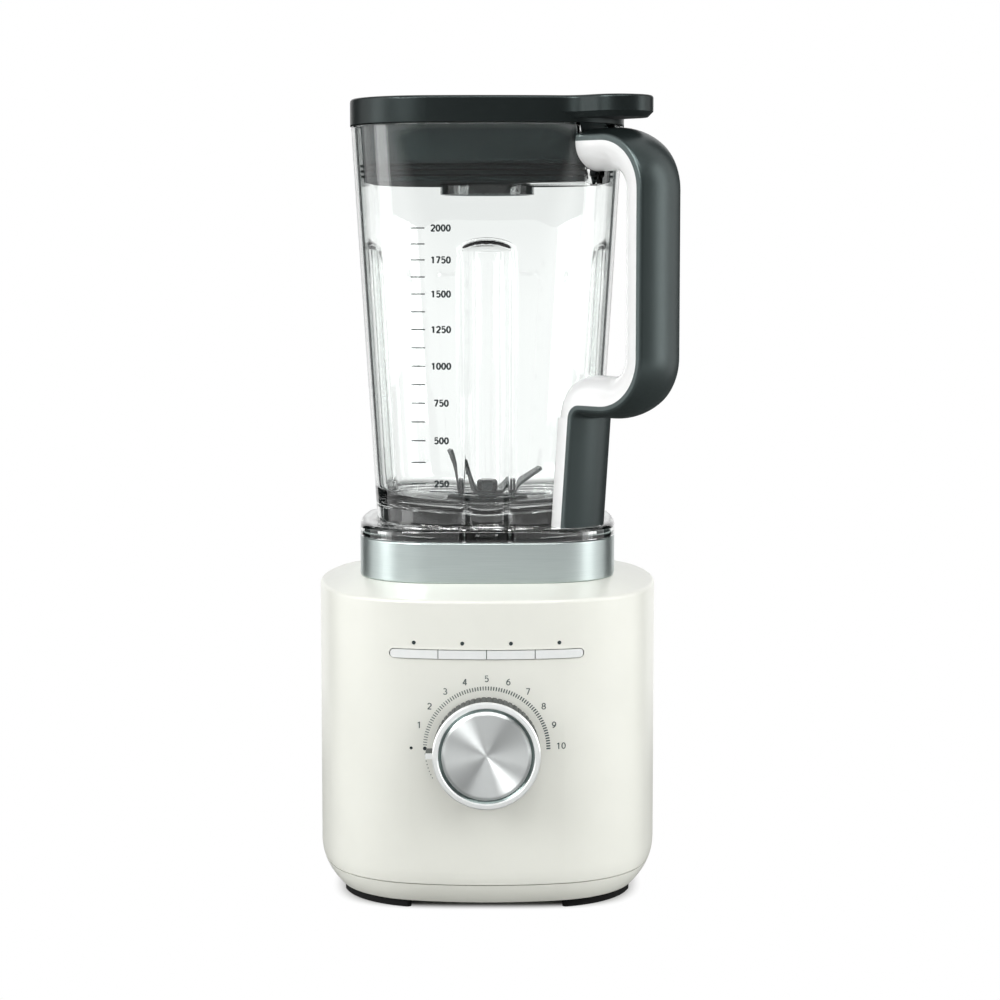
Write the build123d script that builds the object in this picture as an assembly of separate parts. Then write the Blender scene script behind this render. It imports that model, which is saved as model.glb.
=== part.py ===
from build123d import *
from functools import cache
import math
import os

# Countertop blender: motor base, square jar with a corner handle, lid and fill cap.
# Millimetres. The origin is on the motor axis at the table, +Z is up, the dial faces -Y.

# Fits between pieces
SLIDE_GAP = 0.4
SEAT_GAP = 0.1
SHAFT_FIT = 0.05

# Heights of the stack, each from the top of the one before
FOOT_HEIGHT = 4.0
COVER_HEIGHT = 10.7
BODY_HEIGHT = 146.3
DECK_RISE = 5.0
COLLAR_HEIGHT = 21.0
JAR_HEIGHT = 214.5
LID_HEIGHT = 13.2

# Base housing and its bottom cover
BASE_WIDTH = 180.0
BASE_DEPTH = 193.0
BASE_BOW = 175.0
BASE_CORNER = 58.0
BASE_WALL = 3.0
UNDER_RADIUS = 23.0
UNDER_RISE = 17.0
CREASE_RADIUS = 2.0
COVER_FLOOR = 3.0
SEAM_GAP = 0.5
LIP_HEIGHT = 4.0
LIP_WALL = 2.0
VENT_COUNT = 16
VENT_RADIUS = 30.0
VENT_LENGTH = 18.0
VENT_WIDTH = 4.0
PILLAR_X = 48.0
PILLAR_Y = 52.0
PILLAR_RADIUS = 4.5
SCREW_RADIUS = 2.0
SCREW_LENGTH = 14.0
SCREW_HEAD_RADIUS = 3.8
SCREW_HEAD_HEIGHT = 1.6

# Rubber feet
FOOT_INSET = 9.0
FOOT_WIDTH = 10.5
FOOT_START_X = 39.0
FOOT_START_Y = 42.0
FOOT_SEAT = 1.0
FOOT_ROUND = 2.0

# Collar and the rubber pad inside it
COLLAR_WIDTH = 136.6
COLLAR_BOW = 300.0
COLLAR_CORNER = 40.0
COLLAR_WALL = 4.5
COLLAR_EDGE = 0.8
PAD_FLOOR = 3.0
PAD_RIM = 6.0
PAD_RING_RADIUS = 42.0
PAD_RING_WALL = 12.0
PAD_RING_GAP = 1.0

# Cord gland in the rear wall
GLAND_RISE = 9.3
GLAND_RADIUS = 6.8
GLAND_LENGTH = 6.0
GLAND_BORE_RADIUS = 3.7
GLAND_FLANGE = 2.2
GLAND_FLANGE_LENGTH = 2.5

# Dial
DIAL_HEIGHT = 85.1
DIAL_RING_RADIUS = 27.2
DIAL_RING_WIDTH = 3.0
DIAL_RING_DEPTH = 2.4
DIAL_RING_BEVEL = 0.6
DIAL_SKIRT_RADIUS = 27.0
DIAL_SKIRT_DEPTH = 15.6
DIAL_SKIRT_WALL = 3.0
DIAL_KNURLS = 60
DIAL_KNURL_RADIUS = 0.5
DIAL_CAP_RADIUS = 22.6
DIAL_CAP_BEVEL = 1.6
DIAL_HUB_RADIUS = 7.0
POINTER_LENGTH = 3.4
POINTER_WIDTH = 2.6
POINTER_DROP = 1.0
SPINDLE_RADIUS = 3.0
SPINDLE_FLAT = 0.8

# Push buttons and their lights
BUTTON_COUNT = 4
BUTTON_HEIGHT = 133.6
BUTTON_PITCH = 24.6
BUTTON_ROW_HEIGHT = 4.3
BUTTON_PROUD = 0.8
BUTTON_TRAVEL = 0.9
BUTTON_FLANGE = 1.5
BUTTON_STEM_RADIUS = 1.5
LIGHT_RISE = 5.7
LIGHT_RADIUS = 0.95

# Control board behind the front wall
BOARD_SETBACK = 15.0
BOARD_WIDTH = 92.0
BOARD_DROP = 28.0
BOARD_RISE = 14.0
BOARD_POST_EDGE = 4.0
BOARD_THICKNESS = 1.6
BOARD_POST_RADIUS = 3.0
SWITCH_SIZE = 6.0
SWITCH_DEPTH = 4.0
ENCODER_SIZE = 13.0
ENCODER_DEPTH = 7.0

# Power board on the rear wall
POWER_WIDTH = 64.0
POWER_HEIGHT = 56.0
POWER_RISE = 84.0
POWER_SETBACK = 12.0
POWER_PART_OFFSET = 16.0
CAPACITOR_RADIUS = 7.0
CAPACITOR_LENGTH = 24.0
RELAY_SIZE = 16.0

# Motor
MOTOR_DROP = 12.0
BUSH_HEIGHT = 6.0
BUSH_RADIUS = 6.0
BUSH_CIRCLE = 54.0
BRACKET_THICKNESS = 8.0
STATOR_SIZE = 84.0
STATOR_CORNER = 20.0
STATOR_HEIGHT = 40.0
STATOR_BORE = 27.0
STATOR_WINDOW = 36.0
POLE_OFFSET = 18.0
COIL_START = 3.0
COIL_END_TURN = 7.0
BOLT_OFFSET = 31.0
BOLT_RADIUS = 2.0
WINDING_END = 8.0
WINDING_RADIUS = 22.0
ARMATURE_GAP = 0.8
ARMATURE_SLOTS = 12
ARMATURE_SLOT_DEPTH = 9.0
ARMATURE_SLOT_WIDTH = 4.0
COMMUTATOR_RADIUS = 13.0
COMMUTATOR_HEIGHT = 14.0
SEGMENT_GAP = 0.6
SEGMENT_GAP_DEPTH = 0.8
END_SPACE = 3.0
BRUSH_WIDTH = 8.0
BRUSH_HEIGHT = 6.0
BRUSH_LENGTH = 17.0
BRUSH_BOX_WALL = 2.5
SHAFT_RADIUS = 4.0
BEARING_RADIUS = 11.0
BEARING_WIDTH = 7.0
RACE_SHARE = 0.25
SHIELD_SHARE = 0.125
FAN_RADIUS = 34.0
FAN_HEIGHT = 11.0
FAN_PLATE = 2.0
FAN_BLADES = 9
FAN_BLADE_WALL = 1.6
FAN_BLADE_ANGLE = 35.0

# Couplers between the motor and the blades
COUPLER_RADIUS = 18.0
COUPLER_RISE = 3.5
COUPLER_FLOOR = 1.8
COUPLER_WELL_GAP = 4.4
COUPLER_DEPTH = 11.0
COUPLER_HUB_RADIUS = 9.0
COUPLER_HUB_DROP = 6.0
COUPLER_CORE_RADIUS = 9.0
COUPLER_TOOTH_REACH = 12.5
COUPLER_TOOTH_WIDTH = 4.0
COUPLER_TEETH = 6

# Jar
JAR_BASE_WIDTH = 118.0
JAR_RIM_WIDTH = 144.0
JAR_BOW = 400.0
JAR_CORNER = 44.0
JAR_WALL = 3.0
FLANGE_HEIGHT = 6.5
FLANGE_LIFT = 0.4
FLANGE_EDGE = 2.5
SKIRT_DEPTH = 9.0
SKIRT_WALL = 3.0
FLOOR_RISE = 11.0
FLOOR_FLAT_RADIUS = 24.0
FLOOR_EDGE_RADIUS = 60.0
FLOOR_DISH = 8.0
FLOOR_THICKNESS = 4.0
FLUTE_RADIUS = 22.0
FLUTE_DEPTH = 8.5
FLUTE_TOP_DROP = 59.5
SPOUT_HEIGHT = 30.0
SPOUT_RADIUS = 13.0
SPOUT_ROOT_RADIUS = 3.25
SPOUT_REACH = 8.0

# Handle on the jar's corner
HANDLE_AZIMUTH = -45.0
HANDLE_WIDTH = 30.0
HANDLE_REACH = 120.4
HANDLE_DROP = 9.3
HANDLE_SPAN = 134.2
HANDLE_BEND = 25.0
HANDLE_ELBOW = 7.5
GRIP_SIDE = 3.2
GRIP_CROWN = 3.5
GRIP_EDGE = 2.0
STRIP_STANDOFF = 4.0

# Blade unit in the jar's floor
GASKET_THICKNESS = 1.0
UNIT_FLANGE_RADIUS = 22.0
UNIT_FLANGE = 3.0
UNIT_NECK_RADIUS = 16.0
UNIT_NECK_LENGTH = 16.5
CLAMP_NUT_RADIUS = 25.0
CLAMP_NUT_HEIGHT = 8.0
CLAMP_NUT_FLUTE = 2.0
CLAMP_NUT_FLUTES = 12
SEAL_RADIUS = 9.0
SEAL_HEIGHT = 4.0
UNIT_BEARING_RADIUS = 9.5
UNIT_BEARING_WIDTH = 5.0
UNIT_SHAFT_RADIUS = 3.5
SHOULDER_RADIUS = 7.0
SHOULDER_HEIGHT = 2.0
BLADE_THICKNESS = 1.8
BLADE_WIDTH = 15.0
BLADE_TIP_WIDTH = 5.0
BLADE_FLAT = 10.0
BLADE_BEND = 4.0
STEEP_TIP_REACH = 23.0
STEEP_TIP_RISE = 24.0
SLANT_TIP_REACH = 32.5
SLANT_TIP_RISE = 12.0
LOW_TIP_REACH = 33.0
LOW_TIP_RISE = -1.5
HIGH_BLADE_TURN = 20.0
LOW_BLADE_TURN = -30.0
BLADE_NUT_RADIUS = 7.5
BLADE_NUT_HEIGHT = 6.0
BLADE_NUT_BEVEL = 1.2

# Lid, plug and seal
LID_WIDTH = 144.8
LID_LIFT = 0.3
LID_WALL = 3.0
LID_ROOF = 4.0
LID_EDGE = 1.5
TAB_REACH = 112.0
TAB_WIDTH = 36.0
TAB_THICKNESS = 11.0
TAB_BEVEL = 2.8
TAB_BLEND = 14.0
PLUG_DEPTH = 29.4
PLUG_GAP = 2.0
PLUG_WALL = 2.5
PLUG_EDGE = 0.8
SEAL_LIPS = 3
SEAL_LIP_PITCH = 2.75
SEAL_LIP_THICKNESS = 1.0
SEAL_RISE = 2.4
SEAL_GROOVE = 1.2

# Fill cap
FILL_RADIUS = 25.0
FILL_WALL = 2.0
FILL_DEPTH = 48.6
FILL_RIM_RADIUS = 31.5
FILL_RIM_THICKNESS = 3.6
FILL_SEAT = 3.0

# Heights worked out from the stack
SEAM_Z = FOOT_HEIGHT + COVER_HEIGHT
CREASE_Z = SEAM_Z + BODY_HEIGHT
DECK_Z = CREASE_Z + DECK_RISE
COLLAR_TOP_Z = DECK_Z + COLLAR_HEIGHT
FLANGE_Z = COLLAR_TOP_Z + FLANGE_LIFT
FLANGE_TOP_Z = FLANGE_Z + FLANGE_HEIGHT
RIM_Z = COLLAR_TOP_Z + JAR_HEIGHT
LID_Z = RIM_Z + LID_LIFT
LID_TOP_Z = LID_Z + LID_HEIGHT
FLOOR_Z = COLLAR_TOP_Z + FLOOR_RISE
CEILING_Z = DECK_Z - BASE_WALL
FRONT_Y = -BASE_DEPTH / 2
REAR_Y = BASE_DEPTH / 2
SPAN = 2 * (BASE_WIDTH + BASE_DEPTH)

# Motor heights, hung from the deck
BRACKET_TOP_Z = CEILING_Z - MOTOR_DROP - BUSH_HEIGHT
STATOR_TOP_Z = BRACKET_TOP_Z - BRACKET_THICKNESS - END_SPACE - WINDING_END
STATOR_Z = STATOR_TOP_Z - STATOR_HEIGHT
COMMUTATOR_TOP_Z = STATOR_Z - WINDING_END
COMMUTATOR_Z = COMMUTATOR_TOP_Z - COMMUTATOR_HEIGHT
LOW_BRACKET_TOP_Z = COMMUTATOR_Z - END_SPACE
LOW_BRACKET_Z = LOW_BRACKET_TOP_Z - BRACKET_THICKNESS
FAN_TOP_Z = LOW_BRACKET_Z - END_SPACE
FAN_Z = FAN_TOP_Z - FAN_HEIGHT

# Heights of the drive under the jar
SOCKET_Z = DECK_Z + COUPLER_RISE
SOCKET_TOP_Z = SOCKET_Z + COUPLER_DEPTH
UNIT_Z = FLOOR_Z + GASKET_THICKNESS
UNIT_TOP_Z = UNIT_Z + UNIT_FLANGE
NECK_Z = FLOOR_Z - UNIT_NECK_LENGTH
SHOULDER_Z = UNIT_TOP_Z + SLIDE_GAP
BLADE_Z = SHOULDER_Z + SHOULDER_HEIGHT


def corner_centre(half_x, half_y, bow, corner):
    """Centre of the corner arc that touches both bowed sides."""
    side_x = half_x - bow
    side_y = half_y - bow
    apart = math.hypot(side_x, side_y)
    climb = math.sqrt((bow - corner) ** 2 - apart**2 / 4)
    return Vector(side_x / 2 - climb * side_y / apart, side_y / 2 - climb * side_x / apart)


def outline(half_x, half_y, bow, corner):
    """A rounded rectangle with bowed sides, centred on the axis, as a face."""
    centre = corner_centre(half_x, half_y, bow, corner)
    right = Vector(half_x - bow, 0)
    back = Vector(0, half_y - bow)
    grow = bow / (bow - corner)
    leave = right + (centre - right) * grow
    arrive = back + (centre - back) * grow
    middle = centre + ((leave - centre) + (arrive - centre)).normalized() * corner
    half = [
        ThreePointArc((leave.X, -leave.Y), (half_x, 0), leave),
        ThreePointArc(leave, middle, arrive),
        ThreePointArc(arrive, (0, half_y), (-arrive.X, arrive.Y)),
        ThreePointArc((-arrive.X, arrive.Y), (-middle.X, middle.Y), (-leave.X, leave.Y)),
    ]
    return Face(Wire(half + [Rot(0, 0, 180) * arc for arc in half]))


def base_plan(inset):
    """The base seen from above, drawn in by inset."""
    return outline(
        BASE_WIDTH / 2 - inset, BASE_DEPTH / 2 - inset, BASE_BOW - inset, BASE_CORNER - inset
    )


def collar_plan(inset):
    """The collar seen from above, drawn in by inset."""
    half = COLLAR_WIDTH / 2 - inset
    return outline(half, half, COLLAR_BOW - inset, COLLAR_CORNER - inset)


def slab(face, bottom, top):
    """A plan face raised between two heights."""
    return Pos(0, 0, bottom) * extrude(face, top - bottom, dir=(0, 0, 1))


def through(face, near, far):
    """A face drawn in front view, x across and y up, carried from near to far along Y."""
    return Pos(0, near, 0) * extrude(Plane.XZ * face, far - near, dir=(0, 1, 0))


def rod(radius, bottom, top, x=0.0, y=0.0):
    """An upright cylinder between two heights."""
    return slab(Pos(x, y) * Circle(radius), bottom, top)


def tube(radius, bore, bottom, top):
    """An upright ring between two heights."""
    return slab(Circle(radius) - Circle(bore), bottom, top)


def spun(points):
    """A closed outline of radius and height, turned about the axis."""
    return revolve(Plane.XZ * make_face(Polyline(points, close=True)), Axis.Z)


def band(bottom, top):
    """All space between two heights."""
    return slab(Rectangle(SPAN, SPAN), bottom, top)


def ring_of(shape, radius, count):
    """Copies of a flat shape round the axis, joined into one."""
    return Sketch() + PolarLocations(radius, count) * shape


def corners(x, y):
    """The four places at plus and minus x and y."""
    return [(x, y), (-x, y), (-x, -y), (x, -y)]


@cache
def base_body(inset):
    """The base's closed form: undercut wall, upright wall and sloping deck."""
    plan = base_plan(inset)
    bottom = FOOT_HEIGHT + UNDER_RISE - UNDER_RADIUS + inset
    wall = slab(plan, bottom, CREASE_Z - inset)
    wall = fillet(wall.edges().group_by(Axis.Z)[0], UNDER_RADIUS - inset)
    deck_foot = Pos(0, 0, CREASE_Z - inset) * plan
    deck_top = Pos(0, 0, DECK_Z - inset) * collar_plan(inset)
    return wall + loft([deck_foot, deck_top], ruled=True)


def base_ring(outer_inset, inner_inset, bottom, top):
    """A wall of the base's form between two insets and two heights."""
    return (base_body(outer_inset) - base_body(inner_inset)) & band(bottom, top)


def front_skin(outer_inset, inner_inset):
    """The front wall's bowed sheet between two insets, over the button row."""
    bottom = BUTTON_HEIGHT - BUTTON_PITCH
    top = BUTTON_HEIGHT + BUTTON_PITCH
    sheet = slab(base_plan(outer_inset), bottom, top) - slab(base_plan(inner_inset), bottom, top)
    return sheet & through(Rectangle(SPAN, SPAN), -SPAN, 0)


def row_face(grow):
    """The button row's long rounded opening in front view."""
    length = BUTTON_COUNT * BUTTON_PITCH + 2 * grow
    return Pos(0, BUTTON_HEIGHT) * SlotOverall(length, BUTTON_ROW_HEIGHT + 2 * grow)


def button_places():
    """Distance of each button from the middle of the row."""
    return [(i - (BUTTON_COUNT - 1) / 2) * BUTTON_PITCH for i in range(BUTTON_COUNT)]


def board_posts():
    """Places of the control board's posts in front view."""
    across = BOARD_WIDTH / 2 - BOARD_POST_EDGE
    low = DIAL_HEIGHT - BOARD_DROP + BOARD_POST_EDGE
    high = BUTTON_HEIGHT + BOARD_RISE - BOARD_POST_EDGE
    return [(side * across, height) for side in (-1, 1) for height in (low, high)]


def power_posts():
    """Places of the power board's posts in front view."""
    across = POWER_WIDTH / 2 - BOARD_POST_EDGE
    up = POWER_HEIGHT / 2 - BOARD_POST_EDGE
    return [(x, POWER_RISE + z) for x, z in corners(across, up)]


def gland_face(grow):
    """The gland's arch in front view: a round top on straight sides down to the seam."""
    radius = GLAND_RADIUS + grow
    centre_z = SEAM_Z + GLAND_RISE
    sides = Pos(0, (SEAM_Z + centre_z) / 2) * Rectangle(2 * radius, GLAND_RISE)
    return sides + Pos(0, centre_z) * Circle(radius)


def make_housing():
    """Moulded shell with its deck, control openings, pillars, bosses and posts."""
    shell = base_body(0)
    crease = shell.edges().filter_by(lambda e: abs(e.center().Z - CREASE_Z) < SEAT_GAP)
    shell = fillet(crease, CREASE_RADIUS)
    shell = (shell - base_body(BASE_WALL)) & band(SEAM_Z, DECK_Z)
    pillar_foot = FOOT_HEIGHT + COVER_FLOOR + SEAT_GAP
    for x, y in corners(PILLAR_X, PILLAR_Y):
        shell += rod(PILLAR_RADIUS, pillar_foot, CEILING_Z, x, y)
        shell -= rod(SCREW_RADIUS + SHAFT_FIT, pillar_foot, pillar_foot + SCREW_LENGTH, x, y)
    for x, y in bush_places():
        shell += rod(BUSH_RADIUS, BRACKET_TOP_Z + BUSH_HEIGHT, CEILING_Z, x, y)
    board_face = FRONT_Y + BOARD_SETBACK
    inner = slab(base_plan(BASE_WALL / 2), SEAM_Z, CREASE_Z)
    for x, z in board_posts():
        shell += through(Pos(x, z) * Circle(BOARD_POST_RADIUS), FRONT_Y, board_face) & inner
    for x, z in power_posts():
        post = through(Pos(x, z) * Circle(BOARD_POST_RADIUS), REAR_Y - POWER_SETBACK, REAR_Y)
        shell += post & inner
    shell -= rod(COUPLER_RADIUS + COUPLER_WELL_GAP, CEILING_Z - DECK_RISE, DECK_Z)
    shell -= through(row_face(SLIDE_GAP), FRONT_Y, FRONT_Y / 2) & front_skin(0, BASE_WALL)
    for x in button_places():
        hole = Pos(x, BUTTON_HEIGHT + LIGHT_RISE) * Circle(LIGHT_RADIUS + SEAT_GAP)
        shell -= through(hole, FRONT_Y, FRONT_Y / 2) & front_skin(0, BASE_WALL)
    spindle_hole = Pos(0, DIAL_HEIGHT) * Circle(SPINDLE_RADIUS + SLIDE_GAP)
    shell -= through(spindle_hole, FRONT_Y, FRONT_Y + 2 * BASE_WALL)
    shell -= through(gland_face(SEAT_GAP), REAR_Y - 2 * GLAND_LENGTH, REAR_Y)
    return shell


def foot_plan(grow):
    """The front right foot seen from above: a strip that follows the base's corner."""
    strip = base_plan(FOOT_INSET - grow) - base_plan(FOOT_INSET + FOOT_WIDTH + grow)
    corner = Pos(FOOT_START_X - grow, -FOOT_START_Y + grow) * Rectangle(
        BASE_WIDTH, BASE_DEPTH, align=(Align.MIN, Align.MAX)
    )
    return strip & corner


def at_corner(shape, left, rear):
    """A front right piece carried to another corner."""
    if left:
        shape = mirror(shape, Plane.YZ)
    if rear:
        shape = mirror(shape, Plane.XZ)
    return shape


def make_foot():
    """Rubber foot under the front right corner, seated in the bottom cover."""
    foot = slab(foot_plan(0), 0, FOOT_HEIGHT + FOOT_SEAT - SEAT_GAP)
    return fillet(foot.edges().filter_by(Axis.Z), FOOT_ROUND)


def make_bottom_cover():
    """Tray that closes the housing, with vents, foot seats, screw seats and a lip."""
    floor_z = FOOT_HEIGHT + COVER_FLOOR
    tray = base_body(0) & band(FOOT_HEIGHT, SEAM_Z - SEAM_GAP)
    tray -= base_body(BASE_WALL) & band(floor_z, SEAM_Z)
    lip_inset = BASE_WALL + SLIDE_GAP
    lip = base_ring(lip_inset, lip_inset + LIP_WALL, SEAM_Z, SEAM_Z + LIP_HEIGHT)
    root = base_ring(BASE_WALL, lip_inset + LIP_WALL, SEAM_Z - LIP_HEIGHT, SEAM_Z)
    lip -= through(gland_face(GLAND_FLANGE + SLIDE_GAP), REAR_Y / 2, REAR_Y)
    cover = tray + root + lip
    vents = ring_of(SlotOverall(VENT_LENGTH, VENT_WIDTH), VENT_RADIUS, VENT_COUNT)
    cover -= slab(vents, FOOT_HEIGHT, floor_z)
    pocket = slab(foot_plan(SEAT_GAP), FOOT_HEIGHT, FOOT_HEIGHT + FOOT_SEAT)
    for left in (False, True):
        for rear in (False, True):
            cover -= at_corner(pocket, left, rear)
    for x, y in corners(PILLAR_X, PILLAR_Y):
        head = SCREW_HEAD_RADIUS + SEAT_GAP
        cover -= rod(head, FOOT_HEIGHT, FOOT_HEIGHT + SCREW_HEAD_HEIGHT, x, y)
        cover -= rod(SCREW_RADIUS + SHAFT_FIT, FOOT_HEIGHT, floor_z, x, y)
    return cover


def make_cover_screws():
    """Four screws from the bottom cover into the housing's pillars."""
    screws = []
    for x, y in corners(PILLAR_X, PILLAR_Y):
        head_top = FOOT_HEIGHT + SCREW_HEAD_HEIGHT
        screw = rod(SCREW_HEAD_RADIUS, FOOT_HEIGHT, head_top, x, y)
        screws.append(screw + rod(SCREW_RADIUS, head_top, head_top + SCREW_LENGTH, x, y))
    return Compound(children=[screw.solid() for screw in screws])


def make_collar():
    """Brushed metal band that the jar's foot stands on."""
    ring = slab(collar_plan(0) - collar_plan(COLLAR_WALL), DECK_Z, COLLAR_TOP_Z)
    rims = ring.edges().group_by(Axis.Z)
    return fillet(rims[0] + rims[-1], COLLAR_EDGE)


def make_jar_pad():
    """Rubber pad inside the collar: a rim under the jar's skirt and a ring inside it."""
    inset = COLLAR_WALL + SEAT_GAP
    rim_top = FLANGE_Z - SKIRT_DEPTH - SEAT_GAP
    floor = slab(collar_plan(inset), DECK_Z, DECK_Z + PAD_FLOOR)
    rim = slab(collar_plan(inset) - collar_plan(inset + PAD_RIM), DECK_Z, rim_top)
    ring = tube(PAD_RING_RADIUS, PAD_RING_RADIUS - PAD_RING_WALL, DECK_Z, FLOOR_Z)
    ring &= floor_below(FLOOR_THICKNESS + PAD_RING_GAP)
    return floor + rim + ring - rod(COUPLER_RADIUS + COUPLER_WELL_GAP, DECK_Z, rim_top)


def make_cord_gland():
    """Grommet for the supply cord, held in an arch between housing and bottom cover."""
    inner_y = REAR_Y - GLAND_LENGTH
    flange = GLAND_FLANGE_LENGTH
    body = through(gland_face(0), inner_y - flange, REAR_Y + flange)
    lifted = gland_face(GLAND_FLANGE) & Pos(0, SEAM_Z + SPAN / 2) * Rectangle(SPAN, SPAN)
    body += through(lifted, REAR_Y + SEAT_GAP, REAR_Y + flange)
    body += through(lifted, inner_y - flange, inner_y)
    body &= band(SEAM_Z + SEAT_GAP, CREASE_Z)
    bore = Pos(0, SEAM_Z + GLAND_RISE) * Circle(GLAND_BORE_RADIUS)
    return body - through(bore, 0, 2 * REAR_Y)


def spindle_face(grow):
    """The dial spindle's round section with one flat."""
    flat = Pos(0, SPINDLE_RADIUS - SPINDLE_FLAT + grow) * Rectangle(
        SPAN, SPAN, align=(Align.CENTER, Align.MAX)
    )
    return Circle(SPINDLE_RADIUS + grow) & flat


def on_dial(shape):
    """A piece drawn upright on the axis, turned to stand out of the front wall."""
    return Pos(0, FRONT_Y, DIAL_HEIGHT) * Rot(90, 0, 0) * shape


def pointer(start, bottom, top):
    """The finger at nine o'clock, from a radius outwards."""
    tip = DIAL_RING_RADIUS + POINTER_LENGTH
    place = Pos(-(start + tip) / 2, 0)
    return slab(place * Rectangle(tip - start, POINTER_WIDTH), bottom, top)


def make_dial_skirt():
    """Ribbed dark skirt of the dial, hollow behind, with the spindle's hub."""
    bottom = SLIDE_GAP
    top = bottom + DIAL_SKIRT_DEPTH
    grooves = ring_of(Circle(DIAL_KNURL_RADIUS), DIAL_SKIRT_RADIUS, DIAL_KNURLS)
    skirt = slab(Circle(DIAL_SKIRT_RADIUS) - grooves, bottom, top)
    hollow = DIAL_SKIRT_RADIUS - DIAL_SKIRT_WALL
    skirt -= tube(hollow, DIAL_HUB_RADIUS, bottom, top - DIAL_SKIRT_WALL)
    skirt += pointer(hollow, bottom + DIAL_SKIRT_WALL, top)
    return on_dial(skirt - slab(spindle_face(SHAFT_FIT), bottom, top - DIAL_SKIRT_WALL / 2))


def make_dial_ring():
    """Silver ring round the dial's face, with the pointer's tip."""
    bottom = SLIDE_GAP + DIAL_SKIRT_DEPTH
    top = bottom + DIAL_RING_DEPTH
    ring = tube(DIAL_RING_RADIUS, DIAL_RING_RADIUS - DIAL_RING_WIDTH, bottom, top)
    ring = chamfer(ring.edges().group_by(Axis.Z)[-1], DIAL_RING_BEVEL)
    finger = pointer(DIAL_RING_RADIUS - DIAL_RING_WIDTH / 2, bottom, top - POINTER_DROP)
    return on_dial(ring + finger)


def make_dial_cap():
    """Spun metal disc in the middle of the dial, bevelled and slightly dished."""
    bottom = SLIDE_GAP + DIAL_SKIRT_DEPTH
    top = bottom + DIAL_RING_DEPTH
    face = DIAL_CAP_RADIUS - DIAL_CAP_BEVEL
    profile = [
        (0, bottom),
        (DIAL_CAP_RADIUS, bottom),
        (DIAL_CAP_RADIUS, top - DIAL_CAP_BEVEL),
        (face, top),
        (0, top - DIAL_CAP_BEVEL / 2),
    ]
    return on_dial(spun(profile))


def make_dial_spindle():
    """Flatted spindle from the speed encoder to the dial's hub."""
    start = FRONT_Y + BOARD_SETBACK - ENCODER_DEPTH - SEAT_GAP
    end = SLIDE_GAP + DIAL_SKIRT_DEPTH - DIAL_SKIRT_WALL
    return on_dial(slab(spindle_face(0), FRONT_Y - start, end))


def make_button(place):
    """One key of the button row: bowed face, flange behind the wall and stem."""
    cell = Pos(place, BUTTON_HEIGHT) * Rectangle(BUTTON_PITCH - SLIDE_GAP, BUTTON_PITCH)
    seat = BASE_WALL + SLIDE_GAP
    key = front_skin(-BUTTON_PROUD, seat) & through(row_face(0) & cell, -SPAN, 0)
    lip_face = row_face(BUTTON_FLANGE) & cell
    key += front_skin(seat, seat + BUTTON_FLANGE) & through(lip_face, -SPAN, 0)
    stem_end = FRONT_Y + BOARD_SETBACK - SWITCH_DEPTH - BUTTON_TRAVEL - SEAT_GAP
    stem_face = Pos(place, BUTTON_HEIGHT) * Circle(BUTTON_STEM_RADIUS)
    stem = through(stem_face, FRONT_Y, stem_end) & slab(base_plan(seat), SEAM_Z, CREASE_Z)
    return key + stem


def make_button_switches():
    """Four small push switches on the control board."""
    board = FRONT_Y + BOARD_SETBACK
    bodies = []
    for x in button_places():
        face = Pos(x, BUTTON_HEIGHT) * Rectangle(SWITCH_SIZE, SWITCH_SIZE)
        bodies.append(through(face, board - SWITCH_DEPTH, board))
    return Compound(children=[body.solid() for body in bodies])


def make_indicator_lights():
    """Four light pipes from the control board to the front wall."""
    board = FRONT_Y + BOARD_SETBACK
    pipes = []
    for x in button_places():
        face = Pos(x, BUTTON_HEIGHT + LIGHT_RISE) * Circle(LIGHT_RADIUS)
        pipes.append(through(face, FRONT_Y, board) & slab(base_plan(0), SEAM_Z, CREASE_Z))
    return Compound(children=[pipe.solid() for pipe in pipes])


def make_control_board():
    """Circuit board that stands on posts behind the front wall."""
    low = DIAL_HEIGHT - BOARD_DROP
    high = BUTTON_HEIGHT + BOARD_RISE
    face = Pos(0, (low + high) / 2) * Rectangle(BOARD_WIDTH, high - low)
    board = FRONT_Y + BOARD_SETBACK
    return through(face, board, board + BOARD_THICKNESS)


def make_speed_encoder():
    """Turning sensor behind the dial, with a round bush on its front."""
    board = FRONT_Y + BOARD_SETBACK
    body = Pos(0, DIAL_HEIGHT) * Rectangle(ENCODER_SIZE, ENCODER_SIZE)
    return through(body, board - ENCODER_DEPTH, board)


def make_power_board():
    """Power board on the rear wall with its capacitor and relay."""
    back = REAR_Y - POWER_SETBACK
    face = Pos(0, POWER_RISE) * Rectangle(POWER_WIDTH, POWER_HEIGHT)
    front = back - BOARD_THICKNESS
    board = through(face, front, back)
    can = Pos(-POWER_PART_OFFSET, POWER_RISE) * Circle(CAPACITOR_RADIUS)
    board += through(can, front - CAPACITOR_LENGTH / 2, front)
    relay = Pos(POWER_PART_OFFSET, POWER_RISE) * Rectangle(RELAY_SIZE, RELAY_SIZE)
    return board + through(relay, front - RELAY_SIZE / 2, front)


def bush_places():
    """Places of the motor's rubber bushes, on the axes of the base."""
    return [(BUSH_CIRCLE, 0), (0, BUSH_CIRCLE), (-BUSH_CIRCLE, 0), (0, -BUSH_CIRCLE)]


def make_motor_bushes():
    """Four rubber bushes between the motor and the housing's bosses."""
    top = BRACKET_TOP_Z + BUSH_HEIGHT
    bushes = [rod(BUSH_RADIUS, BRACKET_TOP_Z, top, x, y) for x, y in bush_places()]
    return Compound(children=[bush.solid() for bush in bushes])


def bolt_holes(bottom, top):
    """The four bolt holes through the motor."""
    hole = Circle(BOLT_RADIUS + SHAFT_FIT)
    holes = Sketch() + [Pos(x, y) * hole for x, y in corners(BOLT_OFFSET, BOLT_OFFSET)]
    return slab(holes, bottom, top)


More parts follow.
